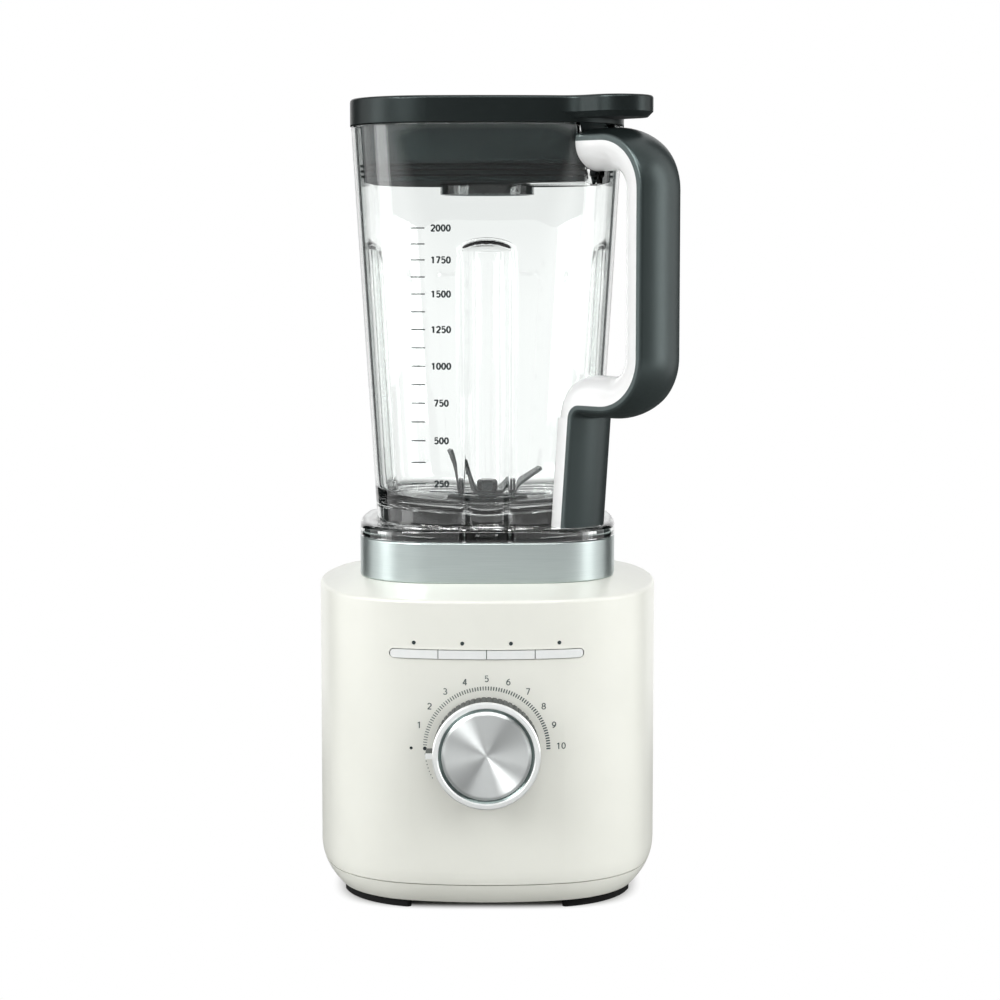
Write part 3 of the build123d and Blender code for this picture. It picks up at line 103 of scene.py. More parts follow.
camera_data = bpy.data.cameras.new("camera")
camera_data.lens = LENS_MM
camera_data.sensor_width = SENSOR_MM
camera = bpy.data.objects.new("camera", camera_data)
camera.location = CAMERA_PLACE
camera.rotation_euler = (CAMERA_TIP, 0, 0)
bpy.context.scene.collection.objects.link(camera)
bpy.context.scene.camera = camera
bpy.context.scene.view_settings.view_transform = "Standard"
print("camera at", [round(v, 4) for v in camera.location])

# %% [markdown]
# ## One way to add a node
# Every finish below is a small tree of nodes. Such a tree could be drawn by hand in the shader
# editor, but written down it can be read and run again. One function adds a node, sets what is
# the same everywhere on its sockets, and links what varies over the surface.

# %% Colours and nodes


def linear(code):
    """An sRGB hex colour as linear red, green, blue and alpha."""
    part = np.array([int(code[i : i + 2], 16) for i in (1, 3, 5)]) / 255
    value = np.where(part <= 0.04045, part / 12.92, ((part + 0.055) / 1.055) ** 2.4)
    return (*value.tolist(), 1.0)


def fill(tree, node, sockets):
    """Gives a node its sockets: another node's socket is linked, anything else is a constant."""
    for name, value in sockets.items():
        if isinstance(value, bpy.types.NodeSocket):
            tree.links.new(value, node.inputs[name])
        else:
            node.inputs[name].default_value = value


def add(tree, kind, output, sockets=None, stops=(), **settings):
    """Adds a node and returns one of its outputs. Stops are a ramp's places and hex colours."""
    made = tree.nodes.new("ShaderNode" + kind)
    for name, value in settings.items():
        setattr(made, name, value)
    for k, (at, code) in enumerate(stops):
        made.color_ramp.elements[k].position = at
        made.color_ramp.elements[k].color = linear(code)
    fill(tree, made, sockets or {})
    return made.outputs[output]


def start(name):
    """A new material: its tree, its shader and the piece's own coordinates."""
    material = bpy.data.materials.new(name)
    material.use_nodes = True
    tree = material.node_tree
    return material, tree, tree.nodes["Principled BSDF"], add(tree, "TexCoord", "Object")


print("cream in linear light:", [round(v, 3) for v in linear("#E7E8E0")])

# %% [markdown]
# ## A layer of a finish
# Sprayed, moulded and brushed surfaces all vary a little from place to place. A photograph of
# the surface could show that, but it would tie the finish to one size. A noise with a grain
# size in millimetres does it at any size, and one layer can sway the colour, the roughness and
# the height together, as one cause does on the real thing.

# %% One layer
NOISE_LOW = 0.3
NOISE_HIGH = 0.7


def layer(tree, shader, place, size_mm, detail=3.0, stretch=(1, 1, 1), **sway):
    """Noise with grains about size_mm wide, drawn out along the axes where stretch is small.

    Sway may hold two colours, two values of rough, and depth_mm of a dent. The noise seldom
    leaves its middle range, so that range is carried to the two ends.
    """
    scaled = add(tree, "Mapping", "Vector", {"Vector": place, "Scale": stretch})
    noise = {"Vector": scaled, "Scale": 1 / (size_mm * MM), "Detail": detail}
    noise = add(tree, "TexNoise", "Fac", noise)
    if "colours" in sway:
        stops = zip((NOISE_LOW, NOISE_HIGH), sway["colours"])
        fill(tree, shader, {"Base Color": add(tree, "ValToRGB", "Color", {"Fac": noise}, stops)})
    if "rough" in sway:
        span = {"Value": noise, "From Min": NOISE_LOW, "From Max": NOISE_HIGH}
        span |= dict(zip(("To Min", "To Max"), sway["rough"]))
        fill(tree, shader, {"Roughness": add(tree, "MapRange", "Result", span)})
    if "depth_mm" in sway:
        dent = {"Height": noise, "Distance": sway["depth_mm"] * MM, "Strength": 1.0}
        fill(tree, shader, {"Normal": add(tree, "Bump", "Normal", dent)})


print("noise that is carried over:", NOISE_LOW, "to", NOISE_HIGH)

# %% [markdown]
# ## Enamel on the base
# The base is moulded and then sprayed in a warm off-white. The paint dries with a soft gloss and
# a very faint orange peel. A plain colour would look like paper, so a broad noise sways the
# colour and one of 3 mm bends the reflections.

# %% Enamel


def cream_enamel():
    """Sprayed enamel: a soft gloss over a 3 mm orange peel, under a thin clear coat."""
    material, tree, shader, place = start("cream_enamel")
    layer(tree, shader, place, 40.0, colours=("#E7E8E0", "#EBECE4"))
    layer(tree, shader, place, 3.0, 2.0, rough=(0.30, 0.36), depth_mm=0.004)
    fill(tree, shader, {"IOR": 1.5, "Coat Weight": 0.15, "Coat Roughness": 0.12})
    return material


enamel = cream_enamel()
print("enamel:", enamel.name, "nodes:", len(enamel.node_tree.nodes))

# %% [markdown]
# ## Grey mouldings
# The lid, the grip and the small dark pieces are ABS from a tool with a spark-eroded grain,
# which breaks up the light. The real grain is finer than 0.1 mm. It is drawn coarser, so that
# it shows. Faces that look down come from the unpolished half of the tool, and without their
# extra roughness they would mirror the pale floor. Boards, brushes and inks are dull in the
# same way and share the function.

# %% Grey mouldings
UNDER_ROUGH = 0.5
COOL_GLOSS = "#DCF0EF"


def grey_moulding(name, colours, rough, grit_mm, gloss=0.6):
    """Dark moulding: a grain of the given grit, a slightly cool gloss, and rougher undersides.

    An underside is found from how far the surface's own normal points down.
    """
    material, tree, shader, place = start(name)
    layer(tree, shader, place, 12.0, colours=colours)
    layer(tree, shader, place, grit_mm, 2.0, rough=(rough - 0.04, rough + 0.04), depth_mm=0.006)
    facing = add(tree, "SeparateXYZ", "Z", {"Vector": place.node.outputs["Normal"]})
    under = {"Value": facing, "From Min": -0.2, "From Max": -0.7, "To Max": UNDER_ROUGH}
    polish = {0: shader.inputs["Roughness"].links[0].from_socket}
    polish |= {1: add(tree, "MapRange", "Result", under)}
    fill(tree, shader, {"Roughness": add(tree, "Math", "Value", polish, operation="ADD")})
    sheen = {"Specular Tint": linear(COOL_GLOSS), "Specular IOR Level": gloss}
    fill(tree, shader, sheen | {"IOR": 1.5})
    return material


grey_abs = grey_moulding("grey_abs", ("#131818", "#171D1D"), 0.34, 0.6)
print("moulding:", grey_abs.name, "nodes:", len(grey_abs.node_tree.nodes))

# %% [markdown]
# ## Rubber
# The feet and the pad are moulded rubber: matt, with a dry bloom. The lid's seal has three
# thin lips that press against the jar. They could be modelled, but they stand only a few tenths
# of a millimetre out, so near-black bands of painted shade are drawn by height where their edges
# show dark.

# %% Rubber
LIP_PITCH = 2.75 * MM
LIP_SHARE = 0.36


def rubber(name, colours):
    """Moulded rubber: matt, with a dry bloom in patches of a few millimetres."""
    material, tree, shader, place = start(name)
    layer(tree, shader, place, 4.0, colours=colours, rough=(0.55, 0.75))
    layer(tree, shader, place, 0.5, 2.0, depth_mm=0.01)
    fill(tree, shader, {"IOR": 1.52, "Specular IOR Level": 0.25})
    return material


def lip_rubber():
    """Dark rubber with bands of painted shade at the lips: the height in lip pitches, less its
    whole part, finds them.
    """
    material, tree, shader, place = start("lip_rubber")
    layer(tree, shader, place, 4.0, rough=(0.55, 0.65))
    layer(tree, shader, place, 0.5, 2.0, depth_mm=0.006)
    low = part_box("lid_seal")[0].z
    height = add(tree, "SeparateXYZ", "Z", {"Vector": place})
    lips = {"Value": height, "From Min": low, "From Max": low + LIP_PITCH, "To Max": 1.0}
    lips = add(tree, "MapRange", "Result", lips, clamp=False)
    phase = add(tree, "Math", "Value", {0: lips}, operation="FRACT")
    edge = add(tree, "Math", "Value", {0: phase, 1: LIP_SHARE}, operation="LESS_THAN")
    # painted shade: near-black bands where the unmodelled lips' edges show dark
    lip_shade = ((0, "#232A2A"), (1, "#010202"))
    colour = add(tree, "ValToRGB", "Color", {"Fac": edge}, lip_shade)
    fill(tree, shader, {"Base Color": colour, "IOR": 1.52, "Specular IOR Level": 0.15})
    return material


seal_rubber = lip_rubber()
print("rubber:", seal_rubber.name, "lip pitch in mm:", round(LIP_PITCH / MM, 2))

# %% [markdown]
# ## Clear plastics
# The jar is clear copolyester from a polished tool, the fill cap is the same plastic with a grey
# dye, and the handle's core is so thick that light scatters in it and it looks white. Glass
# would bend light about as much, but plastic keeps a faint ripple from the way the melt flowed.

# %% Clear plastics


def clear_moulding(name, colours, flow_mm, rough, ior=1.54, through=1.0):
    """Polished clear plastic: one colour, or two that follow the flow, and a faint ripple."""
    material, tree, shader, place = start(name)
    clear = {"Base Color": linear(colours[0]), "IOR": ior, "Transmission Weight": through}
    fill(tree, shader, clear)
    dye = {"colours": colours} if len(colours) > 1 else {}
    layer(tree, shader, place, flow_mm, 1.0, rough=rough, **dye)
    return material


clear_copolyester = clear_moulding("clear_copolyester", ("#FCFEFD",), 18.0, (0.0, 0.012))
smoked = clear_moulding("smoked_copolyester", ("#3A4242", "#424A4A"), 14.0, (0.03, 0.06))
milky = ("#FCFDFD", "#FFFFFF")
milky = clear_moulding("milky_copolyester", milky, 14.0, (0.12, 0.18), 1.5, 0.2)
print("clear plastics:", clear_copolyester.name, smoked.name, milky.name)

# %% [markdown]
# ## Metals
# The collar is brushed aluminium with lines that run round it: a noise that is drawn out along
# the lines. Real lines are finer than 0.1 mm and are drawn coarser here, so that they show. The
# dial's disc is turned on a lathe, so its lines are circles and the light gathers in wedges that
# meet in the middle. Painted wedges would turn with the dial. Here they come from anisotropy
# along the disc's own map, so they stay with the lamps, as real ones do.

# %% Metals
ROUND_LINES = (0.02, 0.02, 1)
WIRE_LINES = (0.05, 0.05, 1)
BLADE_LINES = (1, 0.05, 1)
TURNED_LINES = (1, 0.0002, 1)


def brushed_metal(name, colours, rough, stretch):
    """Satin metal: brush lines of 0.4 mm, which run along the axes where stretch is small."""
    material, tree, shader, place = start(name)
    ends = (rough - 0.05, rough + 0.05)
    layer(tree, shader, place, 0.4, 4.0, stretch, colours=colours, rough=ends, depth_mm=0.0006)
    fill(tree, shader, {"Metallic": 1.0})
    return material


def plain_metal(name, colours, rough, cloud_mm, metal=1.0, vary=0.06):
    """Turned or cast metal with a cloudy surface; lacquer with metal flakes is metal in part."""
    material, tree, shader, place = start(name)
    layer(tree, shader, place, cloud_mm, 5.0, colours=colours, rough=(rough - vary, rough + vary))
    fill(tree, shader, {"Metallic": metal})
    return material


def spun_metal():
    """Turned aluminium: the tool's fine circles stretch each reflection outwards from the axis.

    Past the disc's edge, by distance from the axis, the groove is painted a darker grey: painted
    shade in the recess round the disc.
    """
    material, tree, shader, place = start("spun_aluminium")
    chart = add(tree, "UVMap", "UV", uv_map="turning")
    layer(tree, shader, chart, 0.25, 3.0, TURNED_LINES, rough=(0.34, 0.42))
    flat = {"Vector": place, "Location": (0, 0, -DIAL_Z), "Scale": (1, 0, 1)}
    flat = add(tree, "Mapping", "Vector", flat)
    away = add(tree, "VectorMath", "Value", {0: flat}, operation="LENGTH")
    disc_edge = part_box("dial_cap")[1].x + 0.02 * MM
    groove = add(tree, "Math", "Value", {0: away, 1: disc_edge}, operation="GREATER_THAN")
    # painted shade: a darker colour past the disc's edge stands in for the shade in the groove
    groove_painted_shade = ((0, "#F1F5F4"), (1, "#93A09E"))
    colour = add(tree, "ValToRGB", "Color", {"Fac": groove}, groove_painted_shade)
    outwards = add(tree, "Tangent", "Tangent", direction_type="UV_MAP", uv_map="turning")
    fill(tree, shader, {"Base Color": colour, "Metallic": 1.0})
    fill(tree, shader, {"Anisotropic": 0.95, "Tangent": outwards})
    return material


spun_aluminium = spun_metal()
print("metal:", spun_aluminium.name, "nodes:", len(spun_aluminium.node_tree.nodes))

# %% [markdown]
# ## A finish for every piece
# The model names a slot of finish for every solid, as each piece's first material. One table gives
# each slot its material, and a second one holds the few pieces whose surface differs from the rest
# of their slot. Setting them one by one would do as well, but a table shows at a glance what is
# made of what.

# %% Finishes by the model's slots
finishes = {
    # outside: soft white, silver bands and wedges, deep greys, clear walls and dark steel
    "cream_gloss": enamel,
    "satin_metal": brushed_metal("brushed_aluminium", ("#BFCAC8", "#C7D1CF"), 0.34, ROUND_LINES),
    "spun_metal": spun_aluminium,
    "silver_gloss": plain_metal("silver_lacquer", ("#F3F6F5", "#F8FAF9"), 0.3, 5.0, 0.5, 0.02),
    "dark_grey": grey_abs,
    "black_rubber": rubber("moulded_rubber", ("#050606", "#090A0A")),
    "clear_plastic": clear_copolyester,
    "steel": brushed_metal("brushed_steel", ("#2E3434", "#3A4040"), 0.28, BLADE_LINES),
    # inside the base: dull black, striped iron, warm copper, grey castings, green boards
    "black_plastic": grey_moulding("black_abs", ("#151718", "#1B1D1E"), 0.45, 0.6),
    "lamination": brushed_metal("lamination_steel", ("#6F7476", "#84898B"), 0.45, ROUND_LINES),
    "copper_wire": brushed_metal("enamelled_copper", ("#9C5528", "#B56A36"), 0.3, WIRE_LINES),
    "cast_alloy": plain_metal("die_cast_alloy", ("#8E9292", "#A5A9A9"), 0.5, 2.0),
    "board_green": grey_moulding("green_solder_mask", ("#1F4A33", "#27573D"), 0.4, 1.5),
    "carbon": grey_moulding("pressed_carbon", ("#1B1B1C", "#262627"), 0.6, 1.0),
    "light_pipe": grey_moulding("grey_acrylic", ("#2C3233", "#343B3C"), 0.25, 1.0),
}
own_finish = {
    "handle_grip": grey_moulding("soft_touch_grip", ("#161C1C", "#1A2020"), 0.34, 0.8, 0.85),
    "jar_handle": milky,
    "fill_cap": smoked,
    "lid_seal": seal_rubber,
    "lid_plug": grey_moulding("matt_grey_abs", ("#1E2525", "#222929"), 0.6, 0.6, 0.25),
    "lid_cover": grey_moulding("satin_grey_abs", ("#0A0E0E", "#0E1212"), 0.34, 0.6, 0.45),
}
for name, node in nodes.items():
    slot_name = node.material_slots[0].material.name
    node.material_slots[0].material = own_finish.get(name, finishes[slot_name])
print("finishes:", sorted(finishes))

# %% [markdown]
# ## Surfaces from grids
# A moulded piece is a surface over two parameters: one runs round it, the other along its
# section. It could be pushed into shape from a cube, but a grid of points gives every radius as
# it was measured. The points are one array of rings. Each ring joins the next one, and the last
# ring joins the first, so the skin has no edge and no hole.

# %% Rings to a closed skin


def skin(name, rings, material, body, sharp_deg=40.0):
    """A closed skin over rings (m, n, 3). Its signed volume tells which way the faces look."""
    m, n, _ = rings.shape
    index = np.arange(m * n).reshape(m, n)
    right = np.roll(index, -1, 1)
    quads = np.stack([index, right, np.roll(right, -1, 0), np.roll(index, -1, 0)], -1)
    quads = quads.reshape(-1, 4)
    points = rings.reshape(-1, 3)
    a, b, c, d = (points[quads[:, k]] for k in range(4))
    volume = (np.cross(a, b) * c + np.cross(a, c) * d).sum() / 6
    if volume < 0:
        quads = quads[:, ::-1]
    mesh = bpy.data.meshes.new(name)
    mesh.from_pydata(points.tolist(), [], quads.tolist())
    mesh.shade_smooth()
    mesh.set_sharp_from_angle(angle=math.radians(sharp_deg))
    mesh.materials.append(material)
    made = bpy.data.objects.new(name, mesh)
    bpy.context.scene.collection.objects.link(made)
    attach(made, body)
    print(name, "faces:", len(quads), "volume in ml:", round(abs(volume) * 1e6, 1))
    return made


# %% [markdown]
# ## Outline of the jar
# The jar is injection moulded in one piece with its foot. Its outline is a square with bowed
# sides and round corners. Four arcs could be drawn and joined, but a point of such an outline
# is easier to find from the direction in which the wall looks there: it lies one arc radius
# from that arc's centre.

# %% Bowed square outlines


def bowed_square(turn, half, bow, corner, inset):
    """Point whose wall looks along turn: arc centre plus (radius - inset) along that direction.

    Returned as local x out of the side, local y along it, and the side's quarter turn.
    """
    quarter = np.round(turn / (np.pi / 2)) * np.pi / 2
    local = turn - quarter
    centre = half - bow
    climb = np.sqrt((bow - corner) ** 2 - centre**2 / 2)
    corner_at = centre / 2 + climb / np.sqrt(2)
    limit = np.arctan2(corner_at, corner_at - centre)
    on_side = np.abs(local) < limit
    radius = np.where(on_side, bow, corner) - inset
    x = np.where(on_side, centre, corner_at) + radius * np.cos(local)
    y = np.where(on_side, 0.0, np.sign(local) * corner_at) + radius * np.sin(local)
    return x, y, quarter


def turned(x, y, quarter):
    """Local x and y turned about the upright axis."""
    c, s = np.cos(quarter), np.sin(quarter)
    return np.stack([x * c - y * s, x * s + y * c], -1)


def over(value, soft):
    """The part of value above zero, with a soft start."""
    return (value + np.sqrt(value**2 + soft**2)) / 2


print("a soft start of 1 mm lifts 0 mm to", over(0.0, 1.0), "mm")

# %% [markdown]
# ## Wall of the jar
# The wall widens towards the rim. Four flutes break the swirl of the food, and one rear corner
# is drawn out to a pouring lip. Boolean cuts would leave sharp seams, so each form is a distance
# by which a point of the outline moves in or out, with a soft start. The same function gives the
# inside, drawn in by the wall.

# %% Wall of the jar, outside or inside
JAR_CORNER = 44.0 * MM
JAR_WALL = 3.0 * MM
FLUTE_RADIUS = 13.5 * MM
FLUTE_DEPTH = 7.5 * MM
FLUTE_TOP_Z = RIM_Z - 65.5 * MM
FLUTE_CLOSE = 4.0 * MM
SPOUT_RADIUS = 13.0 * MM
SPOUT_REACH = 8.0 * MM
SPOUT_HEIGHT = 30.0 * MM
SPOUT_TURN = math.radians(135)
SOFT = 1.0 * MM
TURNS = 400
SPACING_Z = 0.3


def even_turns(count):
    """Directions spaced so that the points lie about evenly along the jar's outline."""
    fine = np.linspace(-np.pi / 4, np.pi / 4, 4001)
    x, y, _ = bowed_square(fine, jar_half(SPACING_Z), JAR_BOW, JAR_CORNER, 0.0)
    run = np.concatenate([[0], np.cumsum(np.hypot(np.diff(x), np.diff(y)))])
    quarter = np.interp(np.linspace(0, run[-1], count // 4, endpoint=False), run, fine)
    return (quarter + np.arange(4)[:, None] * np.pi / 2).ravel()


turns = even_turns(TURNS)


def jar_ring(z, inset):
    """The wall at heights z: outline, less four flutes, plus the pouring lip.

    A flute is a round groove of radius R whose centre stands R - depth outside the wall. Its
    top closes as a flattened ball, higher inside by the wall. The lip is a circle that grows
    towards the rim.
    """
    z = np.broadcast_to(z, np.broadcast_shapes(np.shape(z), turns.shape))
    half = jar_half(z)
    x, y, quarter = bowed_square(turns, half, JAR_BOW, JAR_CORNER, inset)
    radius = FLUTE_RADIUS + inset
    half_wide = np.sqrt(radius**2 - (FLUTE_RADIUS - FLUTE_DEPTH) ** 2)
    climb = np.maximum(z - FLUTE_TOP_Z, 0) * half_wide / (FLUTE_CLOSE + inset)
    reach = y**2 + climb**2
    groove = half + FLUTE_RADIUS - FLUTE_DEPTH - np.sqrt(np.maximum(radius**2 - reach, 0))
    x = x - over(x - groove, SOFT)
    place = turned(x, y, quarter)
    share = np.clip((z - RIM_Z + SPOUT_HEIGHT) / SPOUT_HEIGHT, 0, 1)
    ball = SPOUT_RADIUS * (0.25 + 0.75 * share) - inset * (0.5 + 0.5 * share)
    start_at = CORNER_LOW - SPOUT_RADIUS / 2
    centre = start_at + share * (CORNER_RIM + SPOUT_REACH - SPOUT_RADIUS - start_at)
    along = place @ np.array([math.cos(SPOUT_TURN), math.sin(SPOUT_TURN)])
    across = place @ np.array([-math.sin(SPOUT_TURN), math.cos(SPOUT_TURN)])
    lip = centre + np.sqrt(np.maximum(ball**2 - across**2, 0)) - along
    push = np.where(np.abs(across) < ball, over(lip, SOFT), 0) * (share > 0)
    place = place + push[..., None] * np.array([math.cos(SPOUT_TURN), math.sin(SPOUT_TURN)])
    return np.concatenate([place, z[..., None]], -1)


def corner_reach(z):
    """Distance from the axis to the jar's corner at a height."""
    x, y, _ = bowed_square(np.array([np.pi / 4]), jar_half(z), JAR_BOW, JAR_CORNER, 0.0)
    return float(np.hypot(x, y)[0])


CORNER_LOW = corner_reach(RIM_Z - SPOUT_HEIGHT)
CORNER_RIM = corner_reach(RIM_Z)
print("corner of the rim in mm from the axis:", round(CORNER_RIM / MM, 1))

# %% [markdown]
# ## Foot and floor of the jar
# The wall steps out to a thick clear foot that sits in the collar, with a skirt below it. Inside,
# the floor is dished towards the hole for the blade unit, and round ridges under it stiffen it.
# All of this could be separate pieces, but one closed skin lets the light bend through it as it
# does through one moulding.

# %% Foot, floor and skirt
COLLAR_HALF = 68.3 * MM
COLLAR_BOW = 300.0 * MM
COLLAR_CORNER = 40.0 * MM
FLANGE_Z = FLANGE_TOP_Z - 6.6 * MM
FLANGE_EDGE = 2.5 * MM
FOOT_FILLET = 2.0 * MM
SKIRT_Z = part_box("jar")[0].z
SKIRT_INSET = 4.9 * MM
FLOOR_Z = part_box("blade_gasket")[0].z
FLOOR_FLAT = 24.0 * MM
FLOOR_SLOPE = 8.0 / 36.0
FLOOR_THICK = 4.0 * MM
FLOOR_FILLET = 7.0 * MM
RIDGES = 8
RIDGE_HEIGHT = 0.9 * MM
HOLE_RADIUS = 16.1 * MM
LIP_EDGE = 1.1 * MM
OVERLAP = 0.03 * MM
CLOSE_BELOW = FLUTE_TOP_Z - 3.0 * MM
CLOSE_ABOVE = FLUTE_TOP_Z + 9.0 * MM


def collar_ring(z, inset):
    """The collar's outline at a height, drawn in by inset."""
    place = turned(*bowed_square(turns, COLLAR_HALF, COLLAR_BOW, COLLAR_CORNER, inset))
    return np.concatenate([place, np.full((TURNS, 1), z)], -1)


def floor_height(radius):
    """The dished floor: flat in the middle, then a straight slope up to the wall."""
    return FLOOR_Z + FLOOR_SLOPE * np.maximum(radius - FLOOR_FLAT, 0)


def blended(a, b, count):
    """Rings from a to b in a straight line."""
    return a + (b - a) * np.linspace(0, 1, count)[:, None, None]


def rounded(a, corner, b, count):
    """Rings on the curve that leaves a towards the corner and arrives at b from it."""
    t = np.linspace(0, 1, count)[:, None, None]
    return (1 - t) ** 2 * a + 2 * t * (1 - t) * corner + t**2 * b


def jar_rings():
    """All rings of the jar: skirt, foot, outer wall, rim, inner wall, floor, hole, underside."""
    arc = np.linspace(0, np.pi / 2, 7)
    edge = [
        collar_ring(FLANGE_TOP_Z - FLANGE_EDGE * (1 - math.sin(a)), FLANGE_EDGE * (1 - math.cos(a)))
        for a in arc
    ]
    foot = jar_ring(FLANGE_TOP_Z, -OVERLAP)
    away = edge[-1] - foot
    near = foot + away * (FOOT_FILLET / np.linalg.norm(away, axis=-1, keepdims=True))
    heights = np.concatenate([
        np.linspace(FLANGE_TOP_Z + FOOT_FILLET, CLOSE_BELOW, 14, endpoint=False),
        np.linspace(CLOSE_BELOW, CLOSE_ABOVE, 30, endpoint=False),
        np.linspace(CLOSE_ABOVE, RIM_Z - LIP_EDGE, 16),
    ])
    outer = jar_ring(heights[:, None], -OVERLAP)
    rim_out, rim_in = jar_ring(RIM_Z, -OVERLAP), jar_ring(RIM_Z, JAR_WALL)
    share = LIP_EDGE * (1 - np.cos(arc)) / JAR_WALL
    lift = np.array([0, 0, 1]) * (LIP_EDGE * (np.sin(arc) - 1))[:, None, None]
    lip_out = rim_out + (rim_in - rim_out) * share[:, None, None] + lift
    lip_in = (rim_in + (rim_out - rim_in) * share[:, None, None] + lift)[::-1]
    meet = np.full(TURNS, FLOOR_Z)
    for _ in range(5):
        meet = floor_height(np.linalg.norm(jar_ring(meet, JAR_WALL)[:, :2], axis=-1))
    top, bottom = RIM_Z - LIP_EDGE, meet + FLOOR_FILLET
    climb = (heights[::-1, None] - heights[0]) / (heights[-1] - heights[0])
    inner = jar_ring(bottom + climb * (top - bottom), JAR_WALL)
    corner = jar_ring(meet, JAR_WALL)
    radius = np.linalg.norm(corner[:, :2], axis=-1)
    ray = corner[:, :2] / radius[:, None]

    def floor_rings(spans, drop):
        """Rings on the floor at given distances from the axis, lowered by drop."""
        place = spans[..., None] * ray
        return np.concatenate([place, (floor_height(spans) - drop)[..., None]], -1)

    inward = radius - FLOOR_FILLET
    dished = floor_rings(inward + (FLOOR_FLAT - inward) * np.linspace(0, 1, 14)[:, None], 0)
    hub = floor_rings(np.linspace(FLOOR_FLAT, HOLE_RADIUS, 5)[1:, None] + 0 * radius, 0)
    under_at = np.linalg.norm(jar_ring(FLANGE_TOP_Z, JAR_WALL)[:, :2], axis=-1)
    way = np.linspace(0, 1, 8 * RIDGES + 1)[:, None]
    ridge = RIDGE_HEIGHT / 2 * (1 - np.cos(2 * np.pi * RIDGES * way))
    under = floor_rings(HOLE_RADIUS + (under_at - HOLE_RADIUS) * way, FLOOR_THICK - ridge)
    skirt_in = under[-1].copy()
    skirt_in[:, 2] = SKIRT_Z
    skirt_out = collar_ring(SKIRT_Z, SKIRT_INSET)
    return np.concatenate([
        blended(skirt_in, skirt_out, 3),
        blended(skirt_out, collar_ring(FLANGE_Z, SKIRT_INSET), 3)[1:],
        blended(collar_ring(FLANGE_Z, SKIRT_INSET), collar_ring(FLANGE_Z, 0), 3)[1:],
        np.stack(edge),
        blended(edge[-1], near, 4)[1:],
        rounded(near, foot, outer[0], 6)[1:-1],
        outer,
        lip_out[1:],
        lip_in,
        inner[1:],
        rounded(inner[-1], corner, dished[0], 8)[1:-1],
        dished,
        hub,
        under,
        blended(under[-1], skirt_in, 4)[1:-1],
    ])


jar_shell = skin("jar_shell", jar_rings(), finishes["clear_plastic"], "jar")
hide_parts("jar")

# %% [markdown]
# ## Pad under the jar, with painted shade under its floor
# A rubber pad fills the collar. It is drawn rising close under the jar's dished floor, as dark
# rubber that stands in for the shade in the gap there, so that it shows dark through the clear
# foot. It could be a plain block, but then the gap under the floor would show, so its rings follow
# the jar's own.

# %% Pad with painted shade
PAD_INSET = 4.6 * MM
PAD_GAP = 0.5 * MM
PAD_RING_RADIUS = 30.0 * MM
PAD_WELL_RADIUS = 22.4 * MM
PAD_LOW_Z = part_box("jar_pad")[0].z
PAD_FLOOR_Z = PAD_LOW_Z + 3.0 * MM
PAD_RIM_Z = SKIRT_Z - 0.2 * MM


def pad_and_shade_fill_rings():
    """Rim under the skirt, step up inside it, slope under the floor, step down, well."""
    wall = jar_ring(FLANGE_TOP_Z, JAR_WALL)[:, :2]
    reach = np.linalg.norm(wall, axis=-1)
    ray = wall / reach[:, None]

    def ring(radius, height):
        """A ring at distances from the axis, at one height or at one for every point."""
        place = (radius + 0 * reach)[:, None] * ray
        return np.concatenate([place, (height + 0 * reach)[:, None]], -1)

    inside = reach - PAD_GAP
    top = floor_height(inside) - FLOOR_THICK - PAD_GAP
    low_top = floor_height(PAD_RING_RADIUS) - FLOOR_THICK - PAD_GAP
    # painted shade: the rings under the floor fill the shaded gap with dark rubber
    return np.stack([
        collar_ring(PAD_LOW_Z, PAD_INSET),
        collar_ring(PAD_RIM_Z, PAD_INSET),
        ring(inside, PAD_RIM_Z),
        ring(inside, top),
        ring(PAD_RING_RADIUS, low_top),
        ring(PAD_RING_RADIUS, PAD_FLOOR_Z),
        ring(PAD_WELL_RADIUS, PAD_FLOOR_Z),
        ring(PAD_WELL_RADIUS, PAD_LOW_Z),
    ])


pad_and_shade_fill = skin("jar_pad_and_shade_fill", pad_and_shade_fill_rings(), finishes["black_rubber"], "base")
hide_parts("jar_pad")

# %% [markdown]
# ## Dial
# The dial's disc is turned from aluminium: a bright bevel round a shallow dish, in a groove.
# Blender's Spin tool could turn it, but its finish needs to know which way the tool ran. A
# profile of distance from the axis and depth, carried round the axis, gives both the disc and
# the map that its finish follows.

# %% Disc of the dial
DISC_TURNS = 144
DISC_SHARP_DEG = 25
disc_low, disc_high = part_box("dial_cap")
DISC_RADIUS = (disc_high.x - disc_low.x) / 2
BEVEL = 1.6 * MM
GROOVE_RADIUS = 24.15 * MM
GROOVE_DROP = 0.6 * MM
GROOVE_RIM = 0.8 * MM


